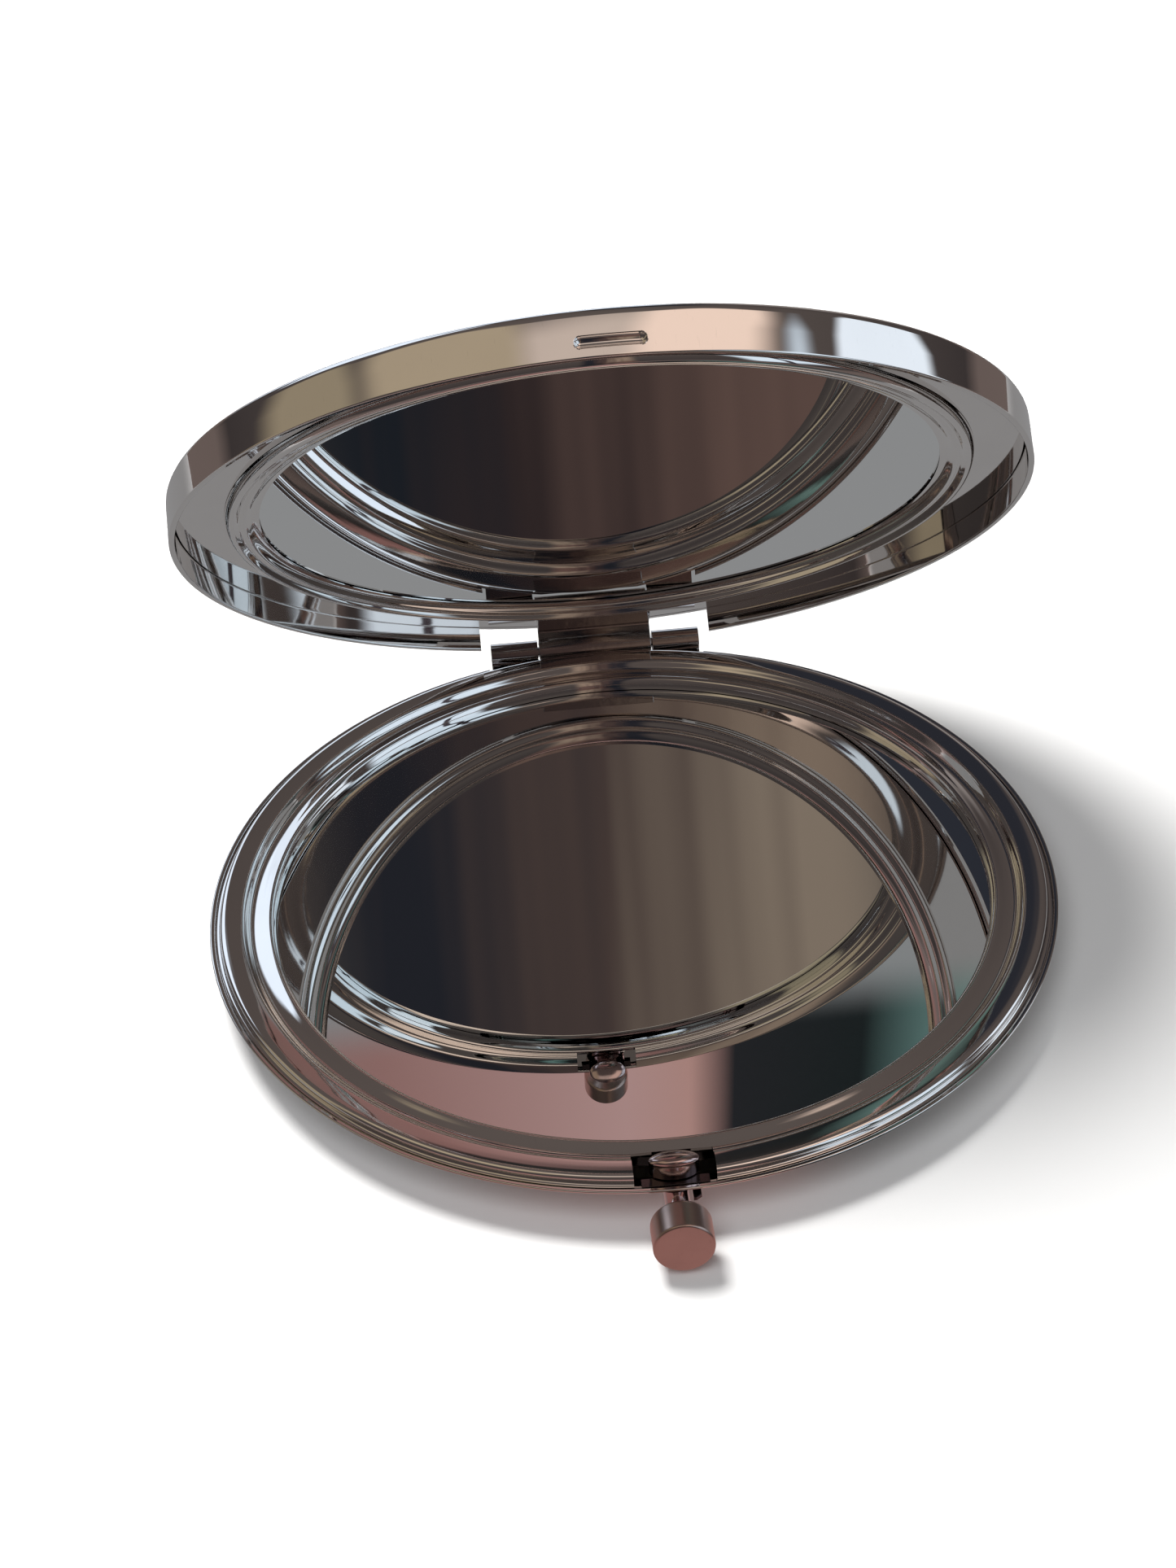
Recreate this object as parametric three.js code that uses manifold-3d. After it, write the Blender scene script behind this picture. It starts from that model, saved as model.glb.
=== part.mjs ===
// Round push-button compact mirror, open as it stands on a table.
// Millimetres, +Z up. The origin is the centre of the base's flat underside.
// The hinge is at +Y and the push button at -Y. "Ledge" is the plane where base and lid meet.
import * as THREE from 'three';
import { mergeVertices } from 'three/addons/utils/BufferGeometryUtils.js';
import Module from 'manifold-3d';

const wasm = await Module();
wasm.setup();

// Driving dimensions of the case
const caseRadius = 35;
const shellSheet = 0.5;
const baseDepth = 4.2;
const lidHeight = 4.0;
const lidLipGap = 0.1;
const openAngle = 52.6;
const seatGap = 0.05;
const cutOverrun = 3;

// Base shell
const bowlWidth = 10;
const lipWidth = 0.45;
const lipRound = 0.15;
const rebateDepth = 0.35;
const rebateWidth = 0.9;

// Base inner frame: a broad raised land, a narrow valley, the bead and the wall round the glass
const frameSheet = 0.25;
const frameFootClearance = 0.1;
const frameFootDrop = 0.05;
const frameWidth = 5;
const frameLandRise = 0.765;
const frameBeadInset = 4.45;
// Each pair is how far in across the frame and how far up to its land, from the foot to the wall.
const frameFaceShares = [
  [0.03, 0], [0.062, 0.09], [0.066, 0.43], [0.09, 0.78], [0.13, 0.91], [0.23, 0.965], [0.4, 1],
  [0.44, 0.97], [0.478, 0.82], [0.522, 0.49], [0.56, 0.28], [0.6, 0.215], [0.67, 0.26], [0.76, 0.42],
  [0.83, 0.59], [0.87, 0.67], [0.9, 0.68], [0.93, 0.62], [0.954, 0.48], [0.976, 0.23], [1, 0.02],
];
const frameWellDepth = 0.55;
const notchHalfWidth = 3.15;
const notchPastBead = 0.9;

// Mirrors and their foam pads
const glassSheet = 1.1;
const baseGlassLap = 0.3;
const lidGlassLap = 0.8;
const lidGlassSheet = 1.0;
const lidPadInset = 2.4;

// Lid
const lidTopRound = 0.8;
const lidFloorDepth = 2.1;
const lidPlateSheet = 0.4;
const lidPlateFlange = 0.8;
const lidRingInset = 4.5;
const lidRingWidth = 2.9;
const lidRingRise = 0.88;
// Each pair is how far in across the ring and how far up it, from its outer foot to its inner edge.
const lidRingFaceShares = [
  [0, 0], [0.06, 0.6], [0.13, 0.9], [0.22, 1], [0.33, 0.86], [0.43, 0.6], [0.5, 0.6],
  [0.57, 0.67], [0.66, 0.57], [0.78, 0.36], [0.9, 0.2], [1, 0.12],
];
const lidRingSheet = 0.22;
const lidCutClearance = 0.9;
const lidCutDepth = 6.6;
const dentWidth = 5.2;
const dentRadius = 0.45;
const dentHeight = 1.25;
const dentDepth = 0.35;
const dentRidge = 0.4;

// Hinge
const hingeOutset = 0.37;
const hingeRise = 0.17;
const knuckleRadius = 1.05;
const pinRadius = 0.45;
const pinClearance = 0.05;
const hingeHalfWidth = 9.4;
const baseKnuckleLength = 4.2;
const knuckleGap = 0.15;
const hingeClearance = 0.15;
const leafSheet = 0.42;
const leafBend = 0.6;
const baseLeafReach = 1.5;
const lidLeafReach = 3.2;

// Push button and catch
const buttonDrop = 1.3;
const neckRadius = 0.95;
const neckClearance = 0.07;
const neckLength = 1.2;
const knobRadius = 2.35;
const knobLength = 3.7;
const knobNeckRadius = 1.2;
const knobShoulder = 1.15;
const knobEdge = 0.25;
const knobBoreDepth = 1.4;
const tenonRadius = 0.55;
const tenonClearance = 0.03;
const rivetHeadRadius = 0.85;
const rivetHeadHeight = 0.22;
const catchLugPastBead = 1.8;
const catchLugSheet = 0.6;
const catchLugHalfWidth = 1.5;
const catchLugDrop = 1.72;
const catchPostClearance = 1.15;
const catchPostHalfWidth = 1.3;
const catchShelfDrop = 0.3;
const catchShelfSheet = 0.2;
const catchEngagement = 0.15;
const catchHeadHalfWidth = 1.95;
const catchHeadHalfDepth = 1.25;
const catchHeadDome = 0.7;
const catchHeadRise = 1.22;
const catchHeadTilt = 0.42;
const catchNeckHalfWidth = 1.9;
const catchNeckSetBack = 0.27;

// Latch guide and the bowed leaf spring behind the catch
const guideHalfWidth = 2.6;
const guideClearance = 0.05;
const guideInset = 0.2;
const guideSheet = 0.22;
const earInner = 1.2;
const earOuter = 1.85;
const earTip = 1.45;
const earStandOut = 0.3;
const earDrop = 0.7;
const earSheet = 0.3;
const earClearance = 0.1;
const springSheet = 0.18;
const springHeight = 0.88;
const springTopDrop = 0.43;
const springHalfSpan = 7;
const springTab = 0.6;

// Fineness of round stretches
const ringSides = 60;
const smallSides = 24;
const arcSteps = 6;
const bendSteps = 4;

// Places worked out from the sizes above
const ledge = baseDepth;
const rad = THREE.MathUtils.degToRad;
const baseFlatRadius = caseRadius - bowlWidth;
const bowlRise = baseDepth - lipRound;
const bowlAngle = 2 * Math.atan(bowlRise / bowlWidth);
const bowlRadius = bowlWidth / Math.sin(bowlAngle);
const lipInnerRadius = caseRadius - lipWidth;
const frameFootRadius = lipInnerRadius - frameFootClearance;
const frameBeadRadius = frameFootRadius - frameBeadInset;
const baseViewRadius = frameFootRadius - frameWidth;
const baseGlassRadius = baseViewRadius + baseGlassLap;
const notchInnerRadius = frameBeadRadius + notchPastBead;
const lidRingRadius = caseRadius - lidRingInset;
const lidViewRadius = lidRingRadius - lidRingWidth;
const lidGlassRadius = lidViewRadius + lidGlassLap;
const lidInnerRadius = caseRadius - shellSheet;
const dentCrestRadius = lidInnerRadius - dentRidge;
const hingeZ = ledge + hingeRise;
const lipPlane = ledge + lidLipGap;
const lidTop = lipPlane + lidHeight;
const floorPlane = lipPlane + lidFloorDepth;
const buttonZ = ledge - buttonDrop;
const glassTop = ledge - frameWellDepth;
const glassBottom = glassTop - glassSheet;
const hingeY = caseRadius + hingeOutset;
const hingeFaceY = hingeY - knuckleRadius;
const lidKnuckleHalfWidth = hingeHalfWidth - baseKnuckleLength - knuckleGap;
const lidCutHalfWidth = hingeHalfWidth + lidCutClearance;
const catchLugRadius = frameBeadRadius + catchLugPastBead;
const catchLugInner = catchLugRadius - catchLugSheet;
const catchPostReach = lipInnerRadius - catchPostClearance;
const catchHeadTip = dentCrestRadius + catchEngagement;
const catchHeadCentre = catchHeadTip - catchHeadHalfDepth;
const guideInnerRadius = catchPostReach + guideClearance;
const guideOuterRadius = lipInnerRadius - guideInset;
const earReach = caseRadius + earStandOut;

const chrome = (color, roughness) => new THREE.MeshStandardMaterial({ color, roughness, metalness: 1 });
const materials = {
  shell: chrome(0x8d8682, 0.1),
  frame: chrome(0x918b88, 0.07),
  mirror: chrome(0xaab0b4, 0.02),
  foam: new THREE.MeshStandardMaterial({ color: 0xe6e2da, roughness: 0.95, metalness: 0 }),
  hinge: chrome(0x7c7678, 0.2),
  button: chrome(0x7d6f6c, 0.16),
  spring: chrome(0x38363a, 0.2),
};

// Joins doubled corners, drops flat triangles and turns the faces outward.
function tidy(geometry) {
  const plain = geometry.clone();
  plain.deleteAttribute('normal');
  plain.deleteAttribute('uv');
  const merged = mergeVertices(plain);
  const at = merged.attributes.position;
  const index = merged.index.array;
  const faces = [];
  const a = new THREE.Vector3();
  const b = new THREE.Vector3();
  const c = new THREE.Vector3();
  let volume = 0;
  for (let i = 0; i < index.length; i += 3) {
    const [p, q, r] = [index[i], index[i + 1], index[i + 2]];
    if (p === q || q === r || r === p) continue;
    faces.push([p, q, r]);
    a.fromBufferAttribute(at, p);
    b.fromBufferAttribute(at, q);
    c.fromBufferAttribute(at, r);
    volume += a.dot(b.cross(c));
  }
  const turned = volume < 0 ? faces.map(([p, q, r]) => [p, r, q]) : faces;
  merged.setIndex(turned.flat());
  return merged;
}

function toSolid(geometry) {
  const clean = tidy(geometry);
  return new wasm.Manifold(new wasm.Mesh({
    numProp: 3,
    vertProperties: new Float32Array(clean.attributes.position.array),
    triVerts: new Uint32Array(clean.index.array),
  }));
}

function toGeometry(solid) {
  const mesh = solid.getMesh();
  const geometry = new THREE.BufferGeometry();
  geometry.setAttribute('position', new THREE.BufferAttribute(new Float32Array(mesh.vertProperties), 3));
  geometry.setIndex(new THREE.BufferAttribute(new Uint32Array(mesh.triVerts), 1));
  geometry.computeVertexNormals();
  return geometry;
}

function join(...shapes) {
  return toGeometry(shapes.map(toSolid).reduce((sum, next) => sum.add(next)));
}

function cut(shape, ...tools) {
  return toGeometry(tools.map(toSolid).reduce((left, next) => left.subtract(next), toSolid(shape)));
}

function overlap(shape, tool) {
  return toGeometry(toSolid(shape).intersect(toSolid(tool)));
}

// A ring or disc about the Z axis, from a closed outline of [radius, height] pairs.
function turned(outline, sides = ringSides) {
  const points = [...outline, outline[0]].map(([r, z]) => new THREE.Vector2(r, z));
  return tidy(new THREE.LatheGeometry(points, sides).rotateX(Math.PI / 2));
}

function box(x0, x1, y0, y1, z0, z1) {
  const size = new THREE.BoxGeometry(x1 - x0, y1 - y0, z1 - z0);
  return size.translate((x0 + x1) / 2, (y0 + y1) / 2, (z0 + z1) / 2);
}

// A cylinder along X.
function rod(radius, x0, x1, y, z, sides = smallSides) {
  const shape = new THREE.CylinderGeometry(radius, radius, x1 - x0, sides).rotateZ(Math.PI / 2);
  return shape.translate((x0 + x1) / 2, y, z);
}

// Points round a circle, from one angle to another in degrees.
function arc(centreR, centreZ, radius, from, to, steps = arcSteps) {
  return Array.from({ length: steps + 1 }, (_, i) => {
    const angle = rad(from + (to - from) * i / steps);
    return [centreR + radius * Math.cos(angle), centreZ + radius * Math.sin(angle)];
  });
}

// The back of a pressed sheet: its face's points moved square to the face by the sheet's thickness.
function sheetBack(face, sheet) {
  const square = (p, q) => {
    const length = Math.hypot(q[0] - p[0], q[1] - p[1]);
    return [(p[1] - q[1]) / length, (q[0] - p[0]) / length];
  };
  return face.map((point, i) => {
    const before = square(face[Math.max(i - 1, 0)], face[Math.max(i, 1)]);
    const after = square(face[Math.min(i, face.length - 2)], face[Math.min(i + 1, face.length - 1)]);
    const sum = [before[0] + after[0], before[1] + after[1]];
    const share = 2 / (sum[0] ** 2 + sum[1] ** 2);
    return [point[0] + sum[0] * share * sheet, point[1] + sum[1] * share * sheet];
  });
}

function mesh(name, geometry, material) {
  const part = new THREE.Mesh(geometry, materials[material]);
  part.name = name;
  return part;
}

// The bowl's curve from the edge of its flat bottom, offset inwards by a sheet's thickness.
function bowlPoints(inset, endRadius) {
  const side = bowlRadius - inset;
  const end = Math.asin((endRadius - baseFlatRadius) / side);
  return Array.from({ length: arcSteps + 1 }, (_, i) => {
    const angle = end * i / arcSteps;
    return [baseFlatRadius + side * Math.sin(angle), bowlRadius - side * Math.cos(angle)];
  });
}

function baseShell() {
  const rebateInner = caseRadius - rebateWidth;
  const outline = [
    [0, 0],
    ...bowlPoints(0, caseRadius),
    [caseRadius - lipRound, ledge],
    [lipInnerRadius + lipRound, ledge],
    [lipInnerRadius, ledge - lipRound],
    [lipInnerRadius, ledge - rebateDepth],
    [rebateInner, ledge - rebateDepth],
    ...bowlPoints(shellSheet, rebateInner).reverse().slice(1),
    [0, shellSheet],
  ];
  const hingeNotch = box(
    -hingeHalfWidth - hingeClearance * 2, hingeHalfWidth + hingeClearance * 2,
    hingeFaceY - baseLeafReach - hingeClearance, hingeY + cutOverrun,
    hingeZ - knuckleRadius - hingeClearance, ledge + cutOverrun,
  );
  const buttonHole = new THREE.CylinderGeometry(
    neckRadius + neckClearance, neckRadius + neckClearance, bowlWidth, smallSides,
  ).translate(0, -caseRadius, buttonZ);
  const earSlot = box(
    0, earOuter + earClearance, -caseRadius - cutOverrun, -catchLugRadius,
    ledge - earDrop - earSheet - earClearance, ledge - rebateDepth - earClearance / 2,
  );
  return cut(turned(outline), hingeNotch, buttonHole, earSlot);
}

function frameFace() {
  return [
    [frameFootRadius, ledge - frameFootDrop],
    ...frameFaceShares.map(([inset, rise]) => [
      frameFootRadius - frameWidth * inset, ledge - frameFootDrop + (frameLandRise + frameFootDrop) * rise,
    ]),
    [baseViewRadius, glassTop + seatGap],
  ];
}

function baseInnerFrame() {
  const face = frameFace();
  const frame = turned([...face, ...sheetBack(face, frameSheet).reverse()]);
  const latchNotch = box(
    -notchHalfWidth, notchHalfWidth, -caseRadius - cutOverrun, -notchInnerRadius,
    ledge - cutOverrun, ledge + cutOverrun,
  );
  const hingeNotch = box(
    -hingeHalfWidth - hingeClearance, hingeHalfWidth + hingeClearance,
    hingeFaceY - hingeClearance, hingeY + cutOverrun, ledge - cutOverrun, ledge + cutOverrun,
  );
  return cut(frame, latchNotch, hingeNotch);
}

function disc(radius, bottom, top, sides = ringSides) {
  return turned([[0, bottom], [radius, bottom], [radius, top], [0, top]], sides);
}

// A knuckle barrel with its bore, along X.
function knuckle(x0, x1) {
  const barrel = rod(knuckleRadius, x0, x1, hingeY, hingeZ);
  const bore = rod(pinRadius + pinClearance, x0 - cutOverrun, x1 + cutOverrun, hingeY, hingeZ);
  return { barrel, bore };
}

function hingeBaseLeaf() {
  const inner = hingeHalfWidth - baseKnuckleLength;
  const bottom = hingeZ - knuckleRadius;
  const left = knuckle(-hingeHalfWidth, -inner);
  const right = knuckle(inner, hingeHalfWidth);
  const backEdge = hingeFaceY - hingeClearance;
  const plate = box(
    -hingeHalfWidth, hingeHalfWidth, hingeFaceY - baseLeafReach, backEdge, bottom, bottom + leafSheet,
  );
  const arms = [[-hingeHalfWidth, -inner], [inner, hingeHalfWidth]].map(
    ([x0, x1]) => box(x0, x1, backEdge - leafSheet, hingeY, bottom, bottom + leafSheet),
  );
  return cut(join(left.barrel, right.barrel, plate, ...arms), left.bore, right.bore);
}

function hingeLidLeaf() {
  const { barrel, bore } = knuckle(-lidKnuckleHalfWidth, lidKnuckleHalfWidth);
  const top = floorPlane - seatGap / 2;
  const outer = hingeFaceY + leafSheet;
  const section = new THREE.Shape()
    .moveTo(hingeFaceY, hingeZ)
    .lineTo(outer, hingeZ)
    .lineTo(outer, top - leafBend)
    .absarc(outer - leafBend, top - leafBend, leafBend, 0, Math.PI / 2, false)
    .lineTo(hingeFaceY - lidLeafReach, top)
    .lineTo(hingeFaceY - lidLeafReach, top - leafSheet)
    .lineTo(outer - leafBend, top - leafSheet)
    .absarc(outer - leafBend, top - leafBend, leafBend - leafSheet, Math.PI / 2, 0, true);
  const sheet = new THREE.ExtrudeGeometry(section, {
    depth: 2 * lidKnuckleHalfWidth, bevelEnabled: false, curveSegments: bendSteps,
  });
  // The section lies in Y and Z and is drawn out along X.
  sheet.applyMatrix4(new THREE.Matrix4().makeBasis(
    new THREE.Vector3(0, 1, 0), new THREE.Vector3(0, 0, 1), new THREE.Vector3(1, 0, 0),
  )).translate(-lidKnuckleHalfWidth, 0, 0);
  return cut(join(barrel, sheet), bore);
}

const hingePin = () => rod(pinRadius, -hingeHalfWidth, hingeHalfWidth, hingeY, hingeZ);

// A bar with round ends along X, for the pressed dent.
function roundBar(radius, width, y, z) {
  const bar = new THREE.CapsuleGeometry(radius, width - 2 * radius, bendSteps, smallSides / 2);
  return bar.rotateZ(Math.PI / 2).translate(0, y, z);
}

function lidShell() {
  const outerTop = lidTop - lidTopRound;
  const innerRound = lidTopRound - shellSheet;
  const outline = [
    [lidInnerRadius, lipPlane + lipRound],
    [lidInnerRadius + lipRound, lipPlane],
    [caseRadius - lipRound, lipPlane],
    [caseRadius, lipPlane + lipRound],
    ...arc(caseRadius - lidTopRound, outerTop, lidTopRound, 0, 90),
    [0, lidTop],
    [0, lidTop - shellSheet],
    ...arc(lidInnerRadius - innerRound, outerTop, innerRound, 90, 0, bendSteps),
  ];
  const hingeCut = box(
    -lidCutHalfWidth, lidCutHalfWidth, caseRadius - lidCutDepth, hingeY + cutOverrun,
    lipPlane - cutOverrun, floorPlane,
  );
  const dentZ = lipPlane + dentHeight;
  const ridge = roundBar(dentRadius, dentWidth, -(dentCrestRadius + dentRadius), dentZ);
  const hollow = roundBar(dentRadius, dentWidth, -(caseRadius - dentDepth + dentRadius), dentZ);
  const pressed = join(cut(turned(outline), hingeCut), ridge);
  return cut(pressed, hollow);
}

function lidInnerPlate() {
  const outer = lidInnerRadius - seatGap;
  const holeRadius = lidGlassRadius + seatGap;
  const face = floorPlane + lidPlateSheet;
  return turned([
    [holeRadius, floorPlane],
    [outer, floorPlane],
    [outer, floorPlane + lidPlateFlange],
    [outer - lidPlateSheet, floorPlane + lidPlateFlange],
    [outer - lidPlateSheet, face],
    [holeRadius, face],
  ]);
}

// The lid's mirror ring stands from the floor towards the lip, so its rises are taken downwards.
function lidMirrorRing() {
  const foot = floorPlane - seatGap / 2;
  const face = lidRingFaceShares.map(
    ([inset, rise]) => [lidRingRadius - lidRingWidth * inset, foot - lidRingRise * rise],
  );
  const pressed = turned([...face, ...sheetBack(face, -lidRingSheet).reverse()]);
  return overlap(pressed, disc(lidRingRadius + cutOverrun, lipPlane, foot));
}

function buttonStem() {
  const front = caseRadius + neckLength;
  const outline = [
    [0, catchLugInner - rivetHeadHeight],
    [rivetHeadRadius, catchLugInner - rivetHeadHeight],
    [rivetHeadRadius, catchLugInner],
    [tenonRadius, catchLugInner],
    [tenonRadius, catchLugRadius],
    [neckRadius, catchLugRadius],
    [neckRadius, front],
    [tenonRadius, front],
    [tenonRadius, front + knobBoreDepth - seatGap],
    [0, front + knobBoreDepth - seatGap],
  ];
  return turned(outline, smallSides).rotateX(Math.PI / 2).translate(0, 0, buttonZ);
}

function buttonKnob() {
  const back = caseRadius + neckLength + seatGap;
  const front = back + knobLength;
  const bore = tenonRadius + tenonClearance;
  const outline = [
    [bore, back],
    [knobNeckRadius, back],
    ...arc(knobRadius - knobShoulder, back + knobShoulder, knobShoulder, -70, 0),
    ...arc(knobRadius - knobEdge, front - knobEdge, knobEdge, 0, 90, bendSteps),
    [0, front],
    [0, back + knobBoreDepth],
    [bore, back + knobBoreDepth],
  ];
  return turned(outline, smallSides * 2).rotateX(Math.PI / 2).translate(0, 0, buttonZ);
}

// The catch: a lug on the stem, a shelf and post up through the notch, and a round neck under the
// leaning domed head that holds the lid.
function latchCatch() {
  const shelfTop = ledge - catchShelfDrop + catchShelfSheet;
  const lug = box(
    -catchLugHalfWidth, catchLugHalfWidth, -catchLugRadius, -catchLugInner, ledge - catchLugDrop, shelfTop,
  );
  const shelf = box(
    -catchPostHalfWidth, catchPostHalfWidth, -catchPostReach, -catchLugInner, ledge - catchShelfDrop, shelfTop,
  );
  const post = box(
    -catchPostHalfWidth, catchPostHalfWidth, -catchPostReach, -catchLugRadius,
    ledge - catchShelfDrop, ledge + seatGap,
  );
  // Head and neck are drawn upright about the head's middle, then leaned so that the nose is higher.
  const lean = (shape) => shape
    .applyMatrix4(new THREE.Matrix4().makeShear(0, 0, 0, -catchHeadTilt, 0, 0))
    .translate(0, -catchHeadCentre, ledge + catchHeadRise);
  const dome = turned([[0, 0], ...arc(0, 0, catchHeadHalfWidth, 0, 90)], smallSides)
    .scale(1, catchHeadHalfDepth / catchHeadHalfWidth, catchHeadDome / catchHeadHalfWidth);
  const neckFront = catchHeadTip - catchNeckSetBack;
  const neckHalfDepth = (neckFront - catchLugRadius) / 2;
  const neck = disc(catchNeckHalfWidth, -2 * catchHeadRise, seatGap, smallSides)
    .scale(1, neckHalfDepth / catchNeckHalfWidth, 1)
    .translate(0, catchHeadCentre - neckFront + neckHalfDepth, 0);
  const above = box(
    -catchHeadHalfWidth, catchHeadHalfWidth, -catchHeadTip, -catchLugInner, ledge, ledge + 2 * catchHeadRise,
  );
  const hole = new THREE.CylinderGeometry(
    tenonRadius + tenonClearance, tenonRadius + tenonClearance, cutOverrun, smallSides,
  ).translate(0, -catchLugRadius, buttonZ);
  return cut(join(lug, shelf, post, overlap(lean(neck), above), lean(dome)), hole);
}

function latchGuide() {
  const top = ledge - rebateDepth + seatGap + guideSheet;
  const bottom = top - guideSheet;
  const plate = box(-guideHalfWidth, guideHalfWidth, -guideOuterRadius, -guideInnerRadius, bottom, top);
  const tabShape = new THREE.Shape()
    .moveTo(earInner, -guideInnerRadius)
    .lineTo(earOuter, -guideInnerRadius)
    .lineTo(earOuter, -caseRadius)
    .lineTo(earTip, -earReach)
    .lineTo(earInner, -earReach);
  const ear = new THREE.ExtrudeGeometry(tabShape, { depth: earSheet, bevelEnabled: false })
    .translate(0, 0, ledge - earDrop - earSheet);
  const web = box(
    earInner, earOuter, -guideInnerRadius - earSheet, -guideInnerRadius, ledge - earDrop - earSheet, top,
  );
  return join(plate, ear, web);
}

// A flat strip bowed outwards behind the catch; its ends lie against the edge of the glass.
function latchSpring() {
  const endY = -Math.sqrt(baseGlassRadius ** 2 - springHalfSpan ** 2) - springTab / 2;
  const crownY = -(catchLugInner - rivetHeadHeight - seatGap);
  const bow = (y) => new THREE.QuadraticBezierCurve(
    new THREE.Vector2(-springHalfSpan, endY + y),
    new THREE.Vector2(0, 2 * crownY - endY + y),
    new THREE.Vector2(springHalfSpan, endY + y),
  ).getPoints(2 * arcSteps);
  const strip = new THREE.Shape([...bow(springSheet), ...bow(0).reverse()]);
  return new THREE.ExtrudeGeometry(strip, { depth: springHeight, bevelEnabled: false })
    .translate(0, 0, ledge - springTopDrop - springHeight);
}

const base = new THREE.Group();
base.add(
  mesh('base_shell', baseShell(), 'shell'),
  mesh('base_inner_frame', baseInnerFrame(), 'frame'),
  mesh('base_mirror', disc(baseGlassRadius, glassBottom, glassTop), 'mirror'),
  mesh('base_mirror_pad', disc(baseFlatRadius, shellSheet + seatGap, glassBottom - seatGap), 'foam'),
  mesh('hinge_base_leaf', hingeBaseLeaf(), 'hinge'),
  mesh('hinge_pin', hingePin(), 'hinge'),
  mesh('latch_guide', latchGuide(), 'spring'),
  mesh('latch_spring', latchSpring(), 'spring'),
);

const button = new THREE.Group();
button.add(
  mesh('latch_catch', latchCatch(), 'button'),
  mesh('button_stem', buttonStem(), 'button'),
  mesh('button_knob', buttonKnob(), 'button'),
);

// The lid's pieces are written where they lie with the lid shut, then swung open about the hinge.
const lidShut = new THREE.Group();
const lidGlassTop = floorPlane + seatGap;
const lidPadBottom = lidGlassTop + lidGlassSheet + seatGap;
lidShut.add(
  mesh('lid_shell', lidShell(), 'shell'),
  mesh('lid_inner_plate', lidInnerPlate(), 'frame'),
  mesh('lid_mirror_ring', lidMirrorRing(), 'frame'),
  mesh('lid_mirror', disc(lidGlassRadius, lidGlassTop, lidGlassTop + lidGlassSheet), 'mirror'),
  mesh('lid_mirror_pad', disc(lidGlassRadius - lidPadInset, lidPadBottom, lidTop - shellSheet - seatGap), 'foam'),
  mesh('hinge_lid_leaf', hingeLidLeaf(), 'hinge'),
);
lidShut.position.set(0, -hingeY, -hingeZ);
const lid = new THREE.Group();
lid.add(lidShut);
lid.position.set(0, hingeY, hingeZ);
lid.rotation.x = -rad(openAngle);

const compact = new THREE.Group();
compact.add(base, button, lid);

export default compact;
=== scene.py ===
"""Looks for the round push-button compact mirror: smooth chrome pieces over the packed model.

Metres, in the packed model's own frame. Outlines are written in millimetres, and a mesh is made
from them at the scale MM.
"""

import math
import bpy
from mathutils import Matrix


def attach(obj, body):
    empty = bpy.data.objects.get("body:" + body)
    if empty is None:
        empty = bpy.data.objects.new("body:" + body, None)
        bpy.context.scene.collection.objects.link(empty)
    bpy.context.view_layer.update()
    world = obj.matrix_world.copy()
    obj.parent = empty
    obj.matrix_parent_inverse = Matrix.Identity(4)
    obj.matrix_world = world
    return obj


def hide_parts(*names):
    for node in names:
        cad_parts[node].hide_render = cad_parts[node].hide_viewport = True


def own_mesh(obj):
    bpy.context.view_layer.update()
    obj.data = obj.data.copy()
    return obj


bl_info = {
    "name": "Compact Mirror Looks",
    "version": (1, 0, 0),
    "blender": (4, 5, 0),
    "location": "3D View > Sidebar > Compact",
    "description": "Builds the dressed pieces of a round compact mirror and its small studio",
    "category": "Object",
}

from types import SimpleNamespace

import bmesh
import bpy
from bpy.props import FloatProperty, FloatVectorProperty, IntProperty, PointerProperty
from mathutils import Matrix, Vector

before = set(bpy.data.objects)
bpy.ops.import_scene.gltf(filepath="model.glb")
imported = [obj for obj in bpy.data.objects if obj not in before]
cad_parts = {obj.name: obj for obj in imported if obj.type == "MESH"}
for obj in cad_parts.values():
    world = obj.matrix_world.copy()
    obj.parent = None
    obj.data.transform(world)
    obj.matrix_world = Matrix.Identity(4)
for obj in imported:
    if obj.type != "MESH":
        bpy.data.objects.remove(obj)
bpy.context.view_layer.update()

MM = 0.001


# Sizes and colours that a user would change


def length(name, description, mm, least=0.0):
    return FloatProperty(
        name=name, description=description, default=mm * MM, min=least, precision=5, unit="LENGTH"
    )


def angle(name, description, degrees):
    return FloatProperty(
        name=name, description=description, default=math.radians(degrees), subtype="ANGLE"
    )


def colour(name, description, value):
    return FloatVectorProperty(
        name=name, description=description, default=value, size=3, min=0.0, max=1.0, subtype="COLOR"
    )


class CaseSizes(bpy.types.PropertyGroup):
    """Sizes of the two shells and what is pressed into them"""

    radius: length("Case radius", "Outer radius of base and lid", 35.0)
    sheet: length("Shell sheet", "Thickness of the pressed shells", 0.5)
    base_depth: length("Base depth", "Underside to the plane where base and lid meet", 4.2)
    bowl_width: length("Bowl width", "Curved stretch between flat underside and lip", 10.0)
    lip_width: length("Lip width", "Width of the base's round lip", 0.45)
    lip_gap: length("Lip gap", "Gap between base and lid when shut", 0.1)
    lid_height: length("Lid height", "Lip of the lid to its top", 4.0)
    lid_round: length("Lid edge round", "Round between the lid's wall and top", 0.8)
    lid_floor: length("Lid floor depth", "Lip of the lid to its inner floor", 2.1)
    glass_drop: length("Glass drop", "Meeting plane down to the base glass", 0.55)
    base_glass: length("Base glass radius", "Radius of the base glass", 29.75)
    lid_glass: length("Lid glass radius", "Radius of the lid glass", 28.4)
    open_angle: angle("Opening", "How far the lid stands open at rest", 52.6)
    sides: IntProperty(name="Sides", description="Steps round a turned piece", default=256, min=32)


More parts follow.
